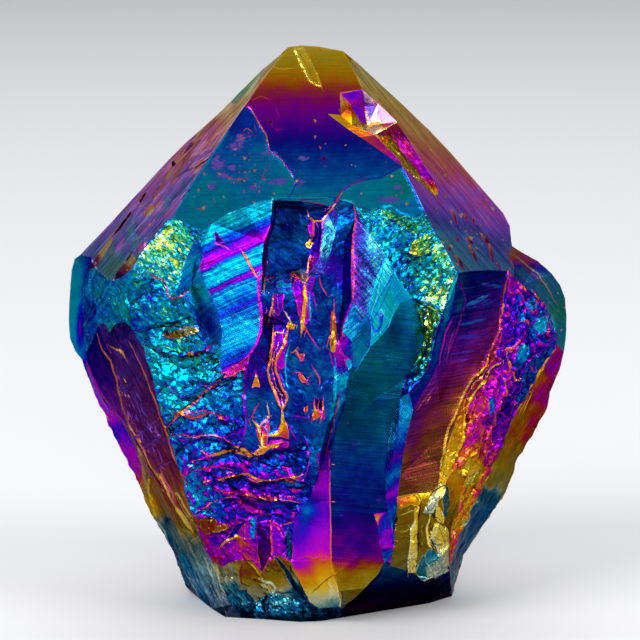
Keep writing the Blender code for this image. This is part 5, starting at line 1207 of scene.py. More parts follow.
def lines_at(p, uv):
    """For each point: signed distance across the nearest line and its half width in mm, with its
    thickness, tone and lift."""
    count = len(p)
    across, half = np.full(count, 2.0), np.full(count, -1.0)
    film, tone, lift, best = (np.full(count, x) for x in (.3, .5, 0.0, 9.0))
    uv = uv + 0.8 * np.stack([fbm(p, 1.8, 70, 3), fbm(p, 1.8, 73, 3)], 1)
    for pts, width, t, o, rise in LINES:
        pts = np.asarray(pts, float)
        lo, hi = pts.min(0) - 7, pts.max(0) + 7
        idx = np.flatnonzero(((uv > lo) & (uv < hi)).all(1))
        if len(idx) == 0:
            continue
        q = uv[idx]
        near, side, along = np.full(len(idx), 1e9), np.ones(len(idx)), np.zeros(len(idx))
        steps = np.hypot(*np.diff(pts, axis=0).T)
        total = steps.sum()
        before = 0.0
        for a, b, length in zip(pts[:-1], pts[1:], steps):
            ab = (b - a) / length
            x = np.clip((q - a) @ ab, 0, length)
            off = q - a - x[:, None] * ab
            d = np.hypot(off[:, 0], off[:, 1])
            closer = d < near
            cross = np.sign(ab[0] * (q[:, 1] - a[1]) - ab[1] * (q[:, 0] - a[0]))
            near = np.where(closer, d, near)
            side = np.where(closer, cross, side)
            along = np.where(closer, (before + x) / total, along)
            before += length
        w = width / 2 * np.clip(.45 + 4 * np.minimum(along, 1 - along), 0, 1) * UNIT
        d = near * UNIT
        take = (d - w) < best[idx]
        i = idx[take]
        best[i] = (d - w)[take]
        across[i] = np.clip(d * side, -2, 2)[take]
        half[i] = np.where(d < 1.1, w, -.5)[take]
        film[i], tone[i], lift[i] = t, o, rise
    return across, half, film, tone, lift


def from_points(uv, pts, power=1.6):
    """Inverse-distance blend of listed (u, v, thickness, tone)."""
    wt = wo = tt = 0
    for u, v, t, tone in pts:
        w = 1 / ((uv[:, 0] - u) ** 2 + (uv[:, 1] - v) ** 2 + 4.0) ** power
        wt, wo, tt = wt + w * t, wo + w * tone, tt + w
    return wt / tt, wo / tt


def line_cells(s, spacing, seed):
    """Irregular saw-tooth along s, one random slope to each line, and a random number per line."""
    w = s / spacing
    w = w + 0.9 * value_noise(np.stack([w * .31, w * 0, w * 0], 1), seed)
    i = np.floor(w)
    f = w - i
    z = np.zeros_like(i)
    r1, r2 = hashed(i, z, z, seed + 11), hashed(i, z, z, seed + 12)
    return (r1 * 2 - 1) * (f - 0.5) + (r2 - 0.5) * 0.5, r2


def along_lines(name, p, uv):
    """Coordinate across a region's striations, in mm."""
    slope = R[name]["stri"][0]
    if name.startswith("back"):
        return p[:, 2] + 0.12 * value_noise(p / 9.0, 77) * 4
    s = (uv[:, 1] + slope * (uv[:, 0] - 230)) * UNIT / math.hypot(1, slope)
    return s + 0.25 * value_noise(p / 6.0, 78) + 0.10 * value_noise(p / 1.7, 79)


def down_lines(name, p, uv):
    """Coordinate along a region's striations, in mm."""
    slope = R[name]["stri"][0]
    if name.startswith("back"):
        return p[:, 0] + 3 * value_noise(p / 9.0, 85)
    return (uv[:, 0] - slope * uv[:, 1]) * UNIT / math.hypot(1, slope)


def patch_fields(table, name, p, q, warp):
    """Thickness, tone and distance inside for the marks of one table."""
    f2, t2, d2 = np.full(len(p), .5), np.full(len(p), .5), np.full(len(p), -9.0)
    for entry in table:
        pname, shape, pts = entry[:3]
        if pname not in (None, name):
            continue
        box = np.array(shape if isinstance(shape, list) else
                       [(shape[0] - 2 * shape[2], shape[1] - 2 * shape[3]),
                        (shape[0] + 2 * shape[2], shape[1] + 2 * shape[3])], float)
        k = np.flatnonzero(((q > box.min(0) - 6) & (q < box.max(0) + 6)).all(1))
        if len(k) == 0:
            continue
        d = patch_at(p[k], q[k], shape, .35 if len(entry) == 4 and entry[3] > .2 else .9)
        f, o = from_points(warp[k], pts)
        near = d > d2[k]
        k = k[near]
        f2[k], t2[k], d2[k] = f[near], o[near], d[near]
    return f2, t2, d2


def build():
    V, F = cage()
    lab = label_cage(V, F)
    n = face_normals(V, F)
    codes, side = edge_table(F)
    order = np.argsort(side.ravel(), kind="stable")
    first = np.searchsorted(side.ravel()[order], np.arange(len(codes)))
    f1, f2 = order[first] // 3, order[first + 1] // 3
    bend = np.arccos(np.clip((n[f1] * n[f2]).sum(1), -1, 1))
    crease = codes[bend > math.radians(13)]
    out_turning = ((V[F[f2]].mean(1) - V[F[f1]].mean(1)) * n[f1]).sum(1) < 0
    chosen = (bend > math.radians(24)) & out_turning
    crests = [(V[c // K], V[c % K]) for c in codes[chosen]]
    length = np.array([R[name]["fine"] for name in ORDER]) * DENSITY
    V, F, lab, crease = refine(V, F, lab, crease, length, 199000)
    F = flip_edges(V, F, lab, crease)

    # even out the points inside each facet
    fixed = np.zeros(len(V), bool)
    fixed[crease // K] = fixed[crease % K] = True
    codes, side = edge_table(F)
    order = np.argsort(side.ravel(), kind="stable")
    first = np.searchsorted(side.ravel()[order], np.arange(len(codes)))
    border = lab[order[first] // 3] != lab[order[first + 1] // 3]
    fixed[codes[border] // K] = fixed[codes[border] % K] = True
    for _ in range(3):
        V = np.where(fixed[:, None], V, V + 0.5 * (neighbour_mean(V, F, V) - V))
    F = flip_edges(V, F, lab, crease, 4)

    rest = V.copy()
    uv = sheet(rest)
    # every plane of the unseen side has its own film: two slow functions of the plane's direction
    plane = np.round(face_normals(rest, F), 2)
    plane_film = np.repeat(value_noise(plane * 3.1 + 9.3, 400), 3)
    plane_tone = np.repeat(value_noise(plane * 3.7 + 4.1, 401), 3)
    plane_side = np.repeat(np.abs(plane[:, 0]), 3)
    N = vertex_normals(V, F)
    for _ in range(2):
        N = N + neighbour_mean(V, F, N)
        N /= np.maximum(np.linalg.norm(N, axis=1, keepdims=True), 1e-9)

    def per_vertex(pick):
        return vertex_mean(F, np.array([pick(R[name]) for name in ORDER], float)[lab], len(V))

    # -------- relief
    grain = per_vertex(lambda r: r["grain"])
    a1, s1 = per_vertex(lambda r: r["fac"][1]), per_vertex(lambda r: r["fac"][0])
    a2 = per_vertex(lambda r: r["fac2"][1])
    wave = per_vertex(lambda r: r["wave"])
    stri = per_vertex(lambda r: r["stri"][2])
    lift = wave * fbm(rest, 9, 5, 2)
    shift = np.zeros_like(V)
    rough = a1 > 0.01
    flow = per_vertex(lambda r: r["flow"])[rough]
    cell = np.zeros(len(V))
    P = rest[rough] + 0.5 * np.stack([fbm(rest[rough], 3.1, 50 + k, 2) for k in range(3)], 1)
    flank = np.abs(P[:, 0])
    G = np.stack([.68 * (.79 * flank + .62 * P[:, 2]), P[:, 1], 1.25 * (.79 * P[:, 2] - .62 * flank)], 1)
    for size, seed in ((1.7, 101), (2.9, 131)):
        h, c = facets(G, size, seed)
        weight = np.clip(1 - np.abs(s1[rough] - size) / 1.3, 0, 1)
        lift[rough] += a1[rough] * weight * h * (1 - .6 * flow)
        cell[rough] += weight * (c - .5) * (1 - .5 * flow)
    # shingled ground: long shallow cells, each tipped up at its lower edge
    at = np.flatnonzero(rough)[flow > .02]
    Q = rest[at] + 2.4 * np.stack([fbm(rest[at], 11, 54 + k, 2) for k in range(3)], 1)
    Q[:, 2] += 0.30 * Q[:, 0]
    for size, seed, share in ((3.3, 181, 1.0), (1.5, 185, .5)):
        h, c = facets(Q, size, seed, (2.6, 1.6, .72))
        lift[at] += share * a1[at] * flow[flow > .02] * h
        cell[at] += .5 * (c - .5) * flow[flow > .02]
    h, c = facets(G, 0.85, 161)
    lift[rough] += a2[rough] * h
    cell[rough] += 0.5 * (c - .5)
    # broken ground isn't only raised and lowered: its edges wander too
    wander = np.clip(a1[rough] * 1.5, 0, .75)
    shift[rough] = wander[:, None] * np.stack([fbm(rest[rough], 4.2, 60 + k, 3) for k in range(3)], 1)
    # growth lines
    sx = np.zeros(len(V))
    wsum = np.zeros(len(V))
    for name in ORDER:
        if R[name]["stri"][2] > 0:
            idx = np.unique(F[lab == INDEX[name]])
            if len(idx) == 0:
                continue
            s = along_lines(name, rest[idx], uv[idx])
            slope, spacing, strength = R[name]["stri"]
            h = 0.62 * line_cells(s, spacing, 200 + INDEX[name])[0] + 0.38 * line_cells(s, spacing * 2.7, 300 + INDEX[name])[0]
            breaks = 0.55 + 0.45 * value_noise(rest[idx] / 4.0, 80)
            lift[idx] += (strength * 0.26 * spacing) * h * breaks * np.where(fixed[idx], .4, 1)
    # crisp small features
    seen = lab < INDEX["back_tip"]
    for name, shape, pts, rise in PATCHES:
        if rise:
            idx = np.unique(F[seen if name is None else lab == INDEX[name]])
            box = np.array(shape if isinstance(shape, list) else
                           [(shape[0] - 2 * shape[2], shape[1] - 2 * shape[3]),
                            (shape[0] + 2 * shape[2], shape[1] + 2 * shape[3])], float)
            idx = idx[((uv[idx] > box.min(0) - 4) & (uv[idx] < box.max(0) + 4)).all(1)]
            d = patch_at(rest[idx], uv[idx], shape, .35 if rise > .2 else 1.1)
            lift[idx] += rise * np.clip(d / .5 + .5, 0, 1) * np.where(fixed[idx], .3, 1)
    front = np.unique(F[seen])
    ls, lw, lf, lt, lr = (np.full(len(V), x) for x in (2.0, -1.0, .3, .5, 0.0))
    ls[front], lw[front], lf[front], lt[front], lr[front] = lines_at(rest[front], uv[front])
    lift += lr * np.clip(1.35 - np.abs(ls) / np.maximum(lw + .15, .15), 0, 1)
    # distance to the cage's outward creases
    cd = np.full(len(V), 9.0)
    for a, b in crests:
        near = np.flatnonzero(((rest - (a + b) / 2) ** 2).sum(1) < (np.linalg.norm(b - a) / 2 + 1.0) ** 2)
        ab = b - a
        t = np.clip(((rest[near] - a) @ ab) / (ab @ ab), 0, 1)
        level = 1 - abs(ab[2]) / np.linalg.norm(ab)  # level ledges are worn most
        away = np.linalg.norm(rest[near] - a - t[:, None] * ab, axis=1) + .30 * (1 - level)
        cd[near] = np.minimum(cd[near], away)
    cd += 0.35 * np.clip(fbm(rest, 3.5, 83, 3) + .15, 0, 1)
    keep = rest[:, 2] < 1e-4
    ease = np.clip(rest[:, 2] / 1.5, 0, 1)
    V = rest + (N * lift[:, None] + shift) * ease[:, None]
    V[keep] = rest[keep]
    V[~keep, 2] = np.maximum(V[~keep, 2], 0.05)

    # -------- where the surface turns out, the film wears thin
    bump = ((V - neighbour_mean(V, F, V)) * vertex_normals(V, F)).sum(1)
    codes, _ = edge_table(F)
    span = np.linalg.norm(V[codes // K] - V[codes % K], axis=1).mean()
    ridge = np.clip(bump / span * 5, -1, 1)
    broad = bump.copy()
    for _ in range(2):
        broad = .3 * broad + .7 * neighbour_mean(V, F, broad[:, None])[:, 0]
    broad = np.clip(broad / span * 12, -1, 1)

    # -------- film and surface at every face corner
    corner = F.ravel()
    clab = np.repeat(lab, 3)
    out = {k: np.zeros(len(corner), np.float32) for k in
           ("film", "tone", "film2", "tone2", "sd", "film3", "tone3", "sd3", "sx", "sy", "sa", "sf", "gr",
            "rgh", "pit", "cr", "pal", "da", "bl")}
    out["sd"][:] = -9
    for key, values in (("ls", ls), ("lw", lw), ("lf", lf), ("lt", lt)):
        out[key] = values[corner]
    for name in ORDER:
        i = INDEX[name]
        at = np.flatnonzero(clab == i)
        if len(at) == 0:
            print("empty region", name)
            continue
        vi, back = np.unique(corner[at], return_inverse=True)
        p, q = rest[vi], uv[vi]
        r = R[name]
        warp = q + (8 if r["grain"] > .4 else 5) * np.stack(
            [fbm(p, 5.0, 21, 3), fbm(p, 5.0, 24, 3)], 1) * (1 if r["wob"] > .015 else .5)
        t, tone = film_at(name, p, warp)
        n1 = fbm(p, 3.2, 41, 4)
        for region_name, u, v, a, b, df, do in DRIFTS:
            if region_name == name:
                g = np.exp(-((warp[:, 0] - u) / a) ** 2 - ((warp[:, 1] - v) / b) ** 2) * (1 + .7 * n1)
                t, tone = t + df * g, tone + do * g
        t = t + r["wob"] * (1.1 * n1 + 0.8 * cell[vi])
        t = t * (1 - 0.22 * np.clip(ridge[vi], 0, 1) * (.25 + .75 * r["grain"]))
        worn = r["rim"] * np.clip((broad[vi] - .34 + .25 * n1) * 3.0, 0, 1)
        if name == "ledges":  # worn most on the lower steps
            worn = worn * np.clip((q[:, 1] - 400) / 70, .15, 1)
        t = t + (.29 + .10 * n1 - t) * .8 * worn
        # painted highlight on outward bumps and, on rough ground, painted shade in the hollows
        tone = tone * (1 + 0.35 * np.clip(ridge[vi], 0, 1)) * (1 - 0.6 * r["grain"] * np.clip(-ridge[vi], 0, 1))
        # each facet cell of rough ground gets a random brightness: painted glints and painted shade of the facets
        tone = tone * (1 + 0.6 * r["grain"] * cell[vi])
        film_here, tone_here = t[back], tone[back]
        if name.startswith("back"):
            low = np.clip(p[back, 2] / 16, 0, 1)
            film_here = film_here + .13 * plane_film[at] * low
            tone_here = tone_here * (1 + .45 * plane_tone[at])
            # back tip planes that face left or right are painted darker: painted shade by the way each plane faces
            if name == "back_tip":
                tone_here = tone_here * (1 - .6 * plane_side[at])
        out["film"][at] = np.clip(film_here, -.25, 1.25)
        out["tone"][at] = tone_here
        out["sx"][at] = along_lines(name, p, q)[back]
        out["sa"][at] = r["stri"][2]
        out["gr"][at] = r["grain"]
        out["rgh"][at] = r["rough"]
        density = np.full(len(vi), float(r["pits"]) * .3)
        for u, v, a, b, much in PITTED.get(name, ()):
            here = 1 - np.hypot((q[:, 0] - u) / a, (q[:, 1] - v) / b) + .5 * fbm(p, 3.0, 98, 2)
            density = np.maximum(density, much * np.clip(here * 1.6, 0, 1))
        out["pit"][at] = density[back]
        out["cr"][at] = (r["crest"] * np.clip(1 - cd[vi] / .5, 0, 1))[back]
        front_face = i < INDEX["back_tip"]
        f2, t2, d2 = patch_fields(PATCHES if front_face else (), name, p, q, warp)
        out["film2"][at], out["tone2"][at], out["sd"][at] = f2[back], t2[back], d2[back]
        f3, t3, d3 = patch_fields(OVER if front_face else (), name, p, q, q)
        out["film3"][at], out["tone3"][at], out["sd3"][at] = f3[back], t3[back], d3[back]
        out["sy"][at] = down_lines(name, p, q)[back]
        out["sf"][at] = r["stri"][2] * r["sfilm"]
        out["pal"][at] = r["pale"]
        out["da"][at] = r["dash"]
        if name == "tip_front":
            bloom = np.zeros(len(vi))
            for u, v, a, b in BLOOMS:
                bloom = np.maximum(bloom, 1 - .55 * ((q[:, 0] - u) / a) ** 2 - .55 * ((q[:, 1] - v) / b) ** 2)
            out["bl"][at] = np.clip(bloom, 0, 1)[back]
    return V, F, lab, crease, out


DENSITY = 1.15
V, F, lab, crease, fields = build()


# ================================================================ the visible piece
def make_piece():
    mesh = bpy.data.meshes.new("aura_amethyst_point")
    mesh.vertices.add(len(V))
    mesh.vertices.foreach_set("co", (V * 0.001).astype(np.float32).ravel())
    mesh.loops.add(len(F) * 3)
    mesh.loops.foreach_set("vertex_index", F.ravel().astype(np.int32))
    mesh.polygons.add(len(F))
    mesh.polygons.foreach_set("loop_start", np.arange(0, len(F) * 3, 3, dtype=np.int32))
    mesh.update(calc_edges=True)
    mesh.polygons.foreach_set("use_smooth", np.ones(len(F), bool))
    # sharp where facets meet
    n = face_normals(V, F)
    codes, side = edge_table(F)
    order = np.argsort(side.ravel(), kind="stable")
    first = np.searchsorted(side.ravel()[order], np.arange(len(codes)))
    bend = np.arccos(np.clip((n[order[first] // 3] * n[order[first + 1] // 3]).sum(1), -1, 1))
    sharp = (bend > math.radians(24)) | (np.isin(codes, crease) & (bend > math.radians(9)))
    ends = np.empty(len(mesh.edges) * 2, np.int32)
    mesh.edges.foreach_get("vertices", ends)
    ends = np.sort(ends.reshape(-1, 2), 1).astype(np.int64)
    at = np.searchsorted(codes, ends[:, 0] * K + ends[:, 1])
    mesh.attributes.new("sharp_edge", "BOOLEAN", "EDGE").data.foreach_set("value", sharp[at])
    for name, values in fields.items():
        mesh.attributes.new(name, "FLOAT", "CORNER").data.foreach_set("value", values.astype(np.float32))
    mesh.validate()
    piece = bpy.data.objects.new("aura_amethyst_point", mesh)
    bpy.context.scene.collection.objects.link(piece)
    return piece


# ================================================================ the metal-oxide film
def linear(c):
    c = c / 255
    return c / 12.92 if c <= 0.04045 else ((c + 0.055) / 1.055) ** 2.4


FILM_LOW, FILM_HIGH = -0.25, 1.25
FILM = [  # thickness, colour as seen under white light; below 0 the coat thins out over dark quartz
    (-0.25, (2, 14, 34)), (-0.18, (2, 52, 96)), (-0.13, (6, 90, 124)), (-0.08, (34, 118, 132)),
    (-0.03, (118, 154, 144)), (0.02, (178, 182, 152)), (0.06, (196, 186, 124)), (0.11, (206, 182, 70)),
    (0.16, (208, 166, 24)), (0.205, (202, 134, 8)), (0.245, (202, 98, 20)), (0.285, (200, 58, 66)),
    (0.325, (192, 22, 134)), (0.365, (166, 8, 186)), (0.405, (126, 4, 196)), (0.45, (76, 6, 186)),
    (0.495, (30, 22, 172)), (0.54, (8, 46, 176)), (0.60, (2, 88, 188)), (0.66, (4, 132, 194)),
    (0.71, (0, 152, 178)), (0.76, (0, 142, 134)), (0.81, (60, 166, 96)), (0.86, (150, 196, 70)),
    (0.92, (206, 190, 60)), (1.00, (214, 110, 130)), (1.08, (140, 60, 190)), (1.17, (20, 100, 190)),
    (1.25, (0, 140, 140)),
]


def aura_material():
    mat = bpy.data.materials.new("aura_film")
    mat.use_nodes = True
    nt = mat.node_tree
    nt.nodes.clear()
    N, L = nt.nodes.new, nt.links.new

    def put(socket, value):
        if isinstance(value, bpy.types.NodeSocket):
            L(value, socket)
        else:
            socket.default_value = value

    def attr(name):
        node = N("ShaderNodeAttribute")
        node.attribute_name = name
        return node.outputs["Fac"]

    def m(op, a, b=0.0, c=0.0, clamp=False):
        node = N("ShaderNodeMath")
        node.operation = op
        node.use_clamp = clamp
        put(node.inputs[0], a)
        put(node.inputs[1], b)
        put(node.inputs[2], c)
        return node.outputs[0]

    def vm(op, a, b=(0, 0, 0), scale=1.0):
        node = N("ShaderNodeVectorMath")
        node.operation = op
        put(node.inputs[0], a)
        if op == "SCALE":
            put(node.inputs["Scale"], scale)
        else:
            put(node.inputs[1], b)
        return node.outputs[0]

    def mix(f, a, b):
        node = N("ShaderNodeMix")
        node.data_type = "FLOAT"
        put(node.inputs[0], f)
        put(node.inputs[2], a)
        put(node.inputs[3], b)
        return node.outputs[0]

    def noise(vector, scale, detail, dims="3D", rough=0.5):
        node = N("ShaderNodeTexNoise")
        node.noise_dimensions = dims
        node.inputs["Scale"].default_value = scale
        node.inputs["Detail"].default_value = detail
        node.inputs["Roughness"].default_value = rough
        if dims == "1D":
            L(vector, node.inputs["W"])
        else:
            L(vector, node.inputs["Vector"])
        return node.outputs["Fac"]

    def voronoi(vector, scale, random=1.0):
        node = N("ShaderNodeTexVoronoi")
        node.inputs["Scale"].default_value = scale
        node.inputs["Randomness"].default_value = random
        L(vector, node.inputs["Vector"])
        return node

    def split(colour):
        node = N("ShaderNodeSeparateColor")
        L(colour, node.inputs[0])
        return node.outputs

    where = N("ShaderNodeTexCoord").outputs["Object"]
    # small cells of sugar-like growth, each with its own film and tilt
    swirl = N("ShaderNodeTexNoise")
    swirl.inputs["Scale"].default_value = 900
    L(where, swirl.inputs["Vector"])
    wobble = vm("SCALE", vm("SUBTRACT", swirl.outputs["Color"], (.5, .5, .5)), scale=0.0006)
    here = vm("ADD", where, wobble)
    # the cells are drawn out along the slopes of the two flanks, falling away from the middle
    axes = N("ShaderNodeSeparateXYZ")
    L(here, axes.inputs[0])
    flank = m("ABSOLUTE", axes.outputs[0])
    drawn = N("ShaderNodeCombineXYZ")
    put(drawn.inputs[0], m("MULTIPLY", m("ADD", m("MULTIPLY", flank, .79), m("MULTIPLY", axes.outputs[2], .62)), .52))
    put(drawn.inputs[1], axes.outputs[1])
    put(drawn.inputs[2], m("MULTIPLY", m("SUBTRACT", m("MULTIPLY", axes.outputs[2], .79), m("MULTIPLY", flank, .62)), 1.45))
    streaky = drawn.outputs[0]
    sugar = voronoi(streaky, 2200)
    coarse = voronoi(streaky, 850)
    sr, sg, sb = split(sugar.outputs["Color"])[:3]
    cr, cg, cb = split(coarse.outputs["Color"])[:3]
    gr, sa, pit = attr("gr"), attr("sa"), attr("pit")

    # growth lines: fine and broad, all along one coordinate
    sx = attr("sx")
    lines = m("SUBTRACT", noise(sx, 1.6, 4, "1D", .65), .5)
    hair = m("SUBTRACT", noise(sx, 7.0, 2, "1D", .6), .5)
    cloud = m("SUBTRACT", noise(where, 420, 4, rough=.6), .5)
    place = N("ShaderNodeCombineXYZ")
    put(place.inputs[0], m("MULTIPLY", sx, .9))
    put(place.inputs[1], m("MULTIPLY", attr("sy"), .16))
    broken = m("MULTIPLY", m("SUBTRACT", noise(place.outputs[0], 1.0, 2), .36), 5.0, clamp=True)
    # thin dark lines and thin bright lines along the growth lines; below they darken and brighten the tone as painted
    # shade and painted highlight of the striations
    dark_fine_lines = m("SUBTRACT", 1.0, m("MULTIPLY", m("ABSOLUTE", m("SUBTRACT", noise(sx, 1.5, 1, "1D"), .5)), 13.0), clamp=True)
    dark_fine_lines = m("MULTIPLY", dark_fine_lines, broken)
    bright_fine_lines = m("SUBTRACT", 1.0, m("MULTIPLY", m("ABSOLUTE", m("SUBTRACT", noise(m("ADD", sx, 37.0), 1.1, 1, "1D"), .5)), 15.0), clamp=True)
    bright_fine_lines = m("MULTIPLY", bright_fine_lines, m("SUBTRACT", 1.0, broken))

    dark_short_lines = m("SUBTRACT", 1.0, m("MULTIPLY", m("ABSOLUTE", m("SUBTRACT", noise(m("ADD", sx, 91.0), 3.6, 1, "1D"), .5)), 11.0), clamp=True)
    dark_short_lines = m("MULTIPLY", dark_short_lines, m("MULTIPLY", m("SUBTRACT", noise(place.outputs[0], 2.3, 2), .40), 5.0, clamp=True))

    # violet blooms: soft clouds with ragged outlines
    veil = m("ADD", m("MULTIPLY", m("SUBTRACT", noise(where, 900, 5, rough=.68), .5), 2.2),
             m("SUBTRACT", attr("bl"), 0.62))
    veil = m("MULTIPLY", m("MULTIPLY", veil, 5.0, clamp=True), 0.85)

    # the patch with a crisp outline
    inside_patch = m("MULTIPLY_ADD", attr("sd"), 12.0, 0.5, clamp=True)
    edge = m("SUBTRACT", 1.0, m("MULTIPLY", m("ABSOLUTE", attr("sd")), 5.5), clamp=True)
    film = mix(inside_patch, attr("film"), attr("film2"))
    tone = mix(inside_patch, attr("tone"), attr("tone2"))
    # along the patch outline the film thins and the tone rises, a painted highlight on the patch's rim
    film = m("MULTIPLY", film, m("MULTIPLY_ADD", edge, -0.30, 1.0))
    tone = m("MULTIPLY_ADD", edge, 0.20, tone)

    film = mix(veil, film, m("MULTIPLY_ADD", cloud, .12, .435))
    tone = mix(veil, tone, 1.15)
    # film thickness with its grain and lines
    film = m("ADD", film, m("MULTIPLY", cloud, 0.10))
    film = m("ADD", film, m("MULTIPLY", m("MULTIPLY", m("SUBTRACT", sg, .5), gr), 0.10))
    film = m("ADD", film, m("MULTIPLY", m("MULTIPLY", m("SUBTRACT", cg, .5), gr), 0.09))
    sf = attr("sf")
    film = m("ADD", film, m("MULTIPLY", m("MULTIPLY", lines, sf), 0.26))
    film = m("ADD", film, m("MULTIPLY", m("MULTIPLY", hair, sf), 0.10))
    # outward creases are worn: the film there is thinner, and their brightening is a painted highlight
    crest = m("MULTIPLY", m("ADD", m("SUBTRACT", attr("cr"), 0.42), m("MULTIPLY", cloud, 1.1)), 4.0, clamp=True)
    film = m("MULTIPLY", film, m("MULTIPLY_ADD", crest, -0.48, 1.0))
    tone = m("MULTIPLY", tone, m("MULTIPLY_ADD", crest, 0.30, 1.0))
    # thin seams
    seam = m("SUBTRACT", attr("lw"), m("ABSOLUTE", m("ADD", attr("ls"), m("MULTIPLY", cloud, 0.16))))
    seam = m("MULTIPLY_ADD", seam, 9.0, 0.5, clamp=True)
    jitter = m("MULTIPLY", cloud, 0.16)
    film = mix(seam, film, m("ADD", attr("lf"), jitter))
    tone = mix(seam, tone, attr("lt"))
    # small marks on top
    inside_mark = m("MULTIPLY_ADD", attr("sd3"), 12.0, 0.5, clamp=True)
    mark_rim = m("SUBTRACT", 1.0, m("MULTIPLY", m("ABSOLUTE", attr("sd3")), 7.0), clamp=True)
    film = mix(inside_mark, film, attr("film3"))
    tone = mix(inside_mark, tone, attr("tone3"))
    # each mark's rim takes orange film and a raised tone, the raise a painted highlight
    film = mix(m("MULTIPLY", mark_rim, .75), film, 0.25)
    tone = m("MULTIPLY_ADD", mark_rim, 0.15, tone)
    # three-cornered growth pits: gold and orange inside, with a painted glint on the rim
    spots = voronoi(where, 950)
    pr, pg, pb = split(spots.outputs["Color"])[:3]
    local = N("ShaderNodeSeparateXYZ")
    L(vm("SCALE", vm("SUBTRACT", here, spots.outputs["Position"]), scale=1000.0), local.inputs[0])
    px = m("MULTIPLY", m("ABSOLUTE", local.outputs[0]), m("MULTIPLY_ADD", pg, 1.5, 0.45))
    pz = m("ADD", local.outputs[2], m("MULTIPLY", local.outputs[0], m("SUBTRACT", pb, .5)))
    corner = m("MAXIMUM", pz, m("ADD", m("MULTIPLY", pz, -.5), m("MULTIPLY", px, .866)))
    reach = m("SUBTRACT", m("MULTIPLY_ADD", pb, 0.17, 0.09), corner)
    present = m("LESS_THAN", pr, m("MULTIPLY", pit, .42))
    hole = m("MULTIPLY", present, m("MULTIPLY_ADD", reach, 16.0, 0.5, clamp=True))
    glint = m("MULTIPLY", present, m("SUBTRACT", 1.0, m("MULTIPLY", m("ABSOLUTE", reach), 16.0), clamp=True))
    film = mix(hole, film, m("MULTIPLY_ADD", pg, 0.20, 0.12))
    tone = mix(hole, tone, m("MULTIPLY_ADD", pb, 0.5, 0.65))
    tone = m("MULTIPLY_ADD", glint, 0.30, tone)
    # fine scratches and growth dashes along the growth lines
    along = N("ShaderNodeCombineXYZ")
    put(along.inputs[0], m("MULTIPLY", sx, 1.5))
    put(along.inputs[1], m("MULTIPLY", attr("sy"), 0.32))
    dashes = voronoi(along.outputs[0], 1.0, 1.0)
    dr, dg, db = split(dashes.outputs["Color"])[:3]
    dash = m("MULTIPLY", m("LESS_THAN", dr, m("MULTIPLY", attr("da"), .38)),
             m("MULTIPLY", m("SUBTRACT", m("MULTIPLY_ADD", dg, .16, .06), dashes.outputs["Distance"]), 16.0, clamp=True))
    film = mix(m("MULTIPLY", dash, .8), film, m("MULTIPLY_ADD", db, 0.34, 0.08))
    tone = mix(m("MULTIPLY", dash, .8), tone, m("MULTIPLY_ADD", dg, .5, .65))
    # painted shade in the crevices between the grains of broken ground
    cracks = voronoi(streaky, 1250)
    cracks.feature = "DISTANCE_TO_EDGE"
    crevice_shade = m("SUBTRACT", 1.0, m("MULTIPLY", cracks.outputs["Distance"], 9.0), clamp=True)
    crevice_shade = m("MULTIPLY", m("MULTIPLY", crevice_shade, gr), m("MULTIPLY_ADD", cloud, 2.5, .62), clamp=True)
    tone = m("MULTIPLY", tone, m("MULTIPLY_ADD", crevice_shade, -0.72, 1.0))
    ramp = N("ShaderNodeValToRGB")
    span = FILM_HIGH - FILM_LOW
    L(m("MULTIPLY_ADD", film, 1 / span, -FILM_LOW / span, clamp=True), ramp.inputs[0])
    elements = ramp.color_ramp.elements
    elements[0].position, elements[1].position = 0.0, 1.0
    for t, c in FILM[1:-1]:
        elements.new((t - FILM_LOW) / span)
    for e, (t, c) in zip(elements, FILM):
        e.color = [linear(x) for x in c] + [1]

    # the small cells of rough ground are each brighter or darker: painted glints and painted shade
    tone = m("MULTIPLY", tone, m("ADD", 1.0, m("MULTIPLY", m("MULTIPLY", m("SUBTRACT", sg, .5), gr), 0.85)))
    tone = m("MULTIPLY", tone, m("ADD", 1.0, m("MULTIPLY", m("MULTIPLY", m("SUBTRACT", cg, .5), gr), 0.45)))
    # brightness along the growth lines: painted highlight and painted shade of the striations
    tone = m("MULTIPLY", tone, m("ADD", 1.0, m("MULTIPLY", m("MULTIPLY", lines, sa), 1.1)))
    tone = m("MULTIPLY", tone, m("ADD", 1.0, m("MULTIPLY", m("MULTIPLY", hair, sa), 0.9)))
    tone = m("MULTIPLY", tone, m("SUBTRACT", 1.0, m("MULTIPLY", m("MULTIPLY", dark_fine_lines, sa), 0.6), clamp=True))
    tone = m("MULTIPLY", tone, m("SUBTRACT", 1.0, m("MULTIPLY", m("MULTIPLY", dark_short_lines, sa), 0.5), clamp=True))
    tone = m("MULTIPLY", tone, m("MULTIPLY_ADD", m("MULTIPLY", bright_fine_lines, sa), 0.5, 1.0))
    tone = m("MULTIPLY", tone, m("MULTIPLY_ADD", cloud, 0.35, 1.0))
    # whitening toward the grey of the backdrop: the pale key paints a sheen of grazing reflection, tone above 1.4 a
    # painted highlight, and the blooms add their own paleness
    pale = N("ShaderNodeMix")
    pale.data_type = "RGBA"
    pale_sheen_and_bloom = m("ADD", attr("pal"), m("MULTIPLY", veil, .20))
    put(pale.inputs[0], m("ADD", m("MULTIPLY", m("SUBTRACT", tone, 1.4), 0.35, clamp=True), pale_sheen_and_bloom, clamp=True))
    L(ramp.outputs["Color"], pale.inputs[6])
    pale.inputs[7].default_value = (.56, .54, .52, 1)
    colour = vm("SCALE", pale.outputs[2], scale=m("MAXIMUM", tone, 0.0))

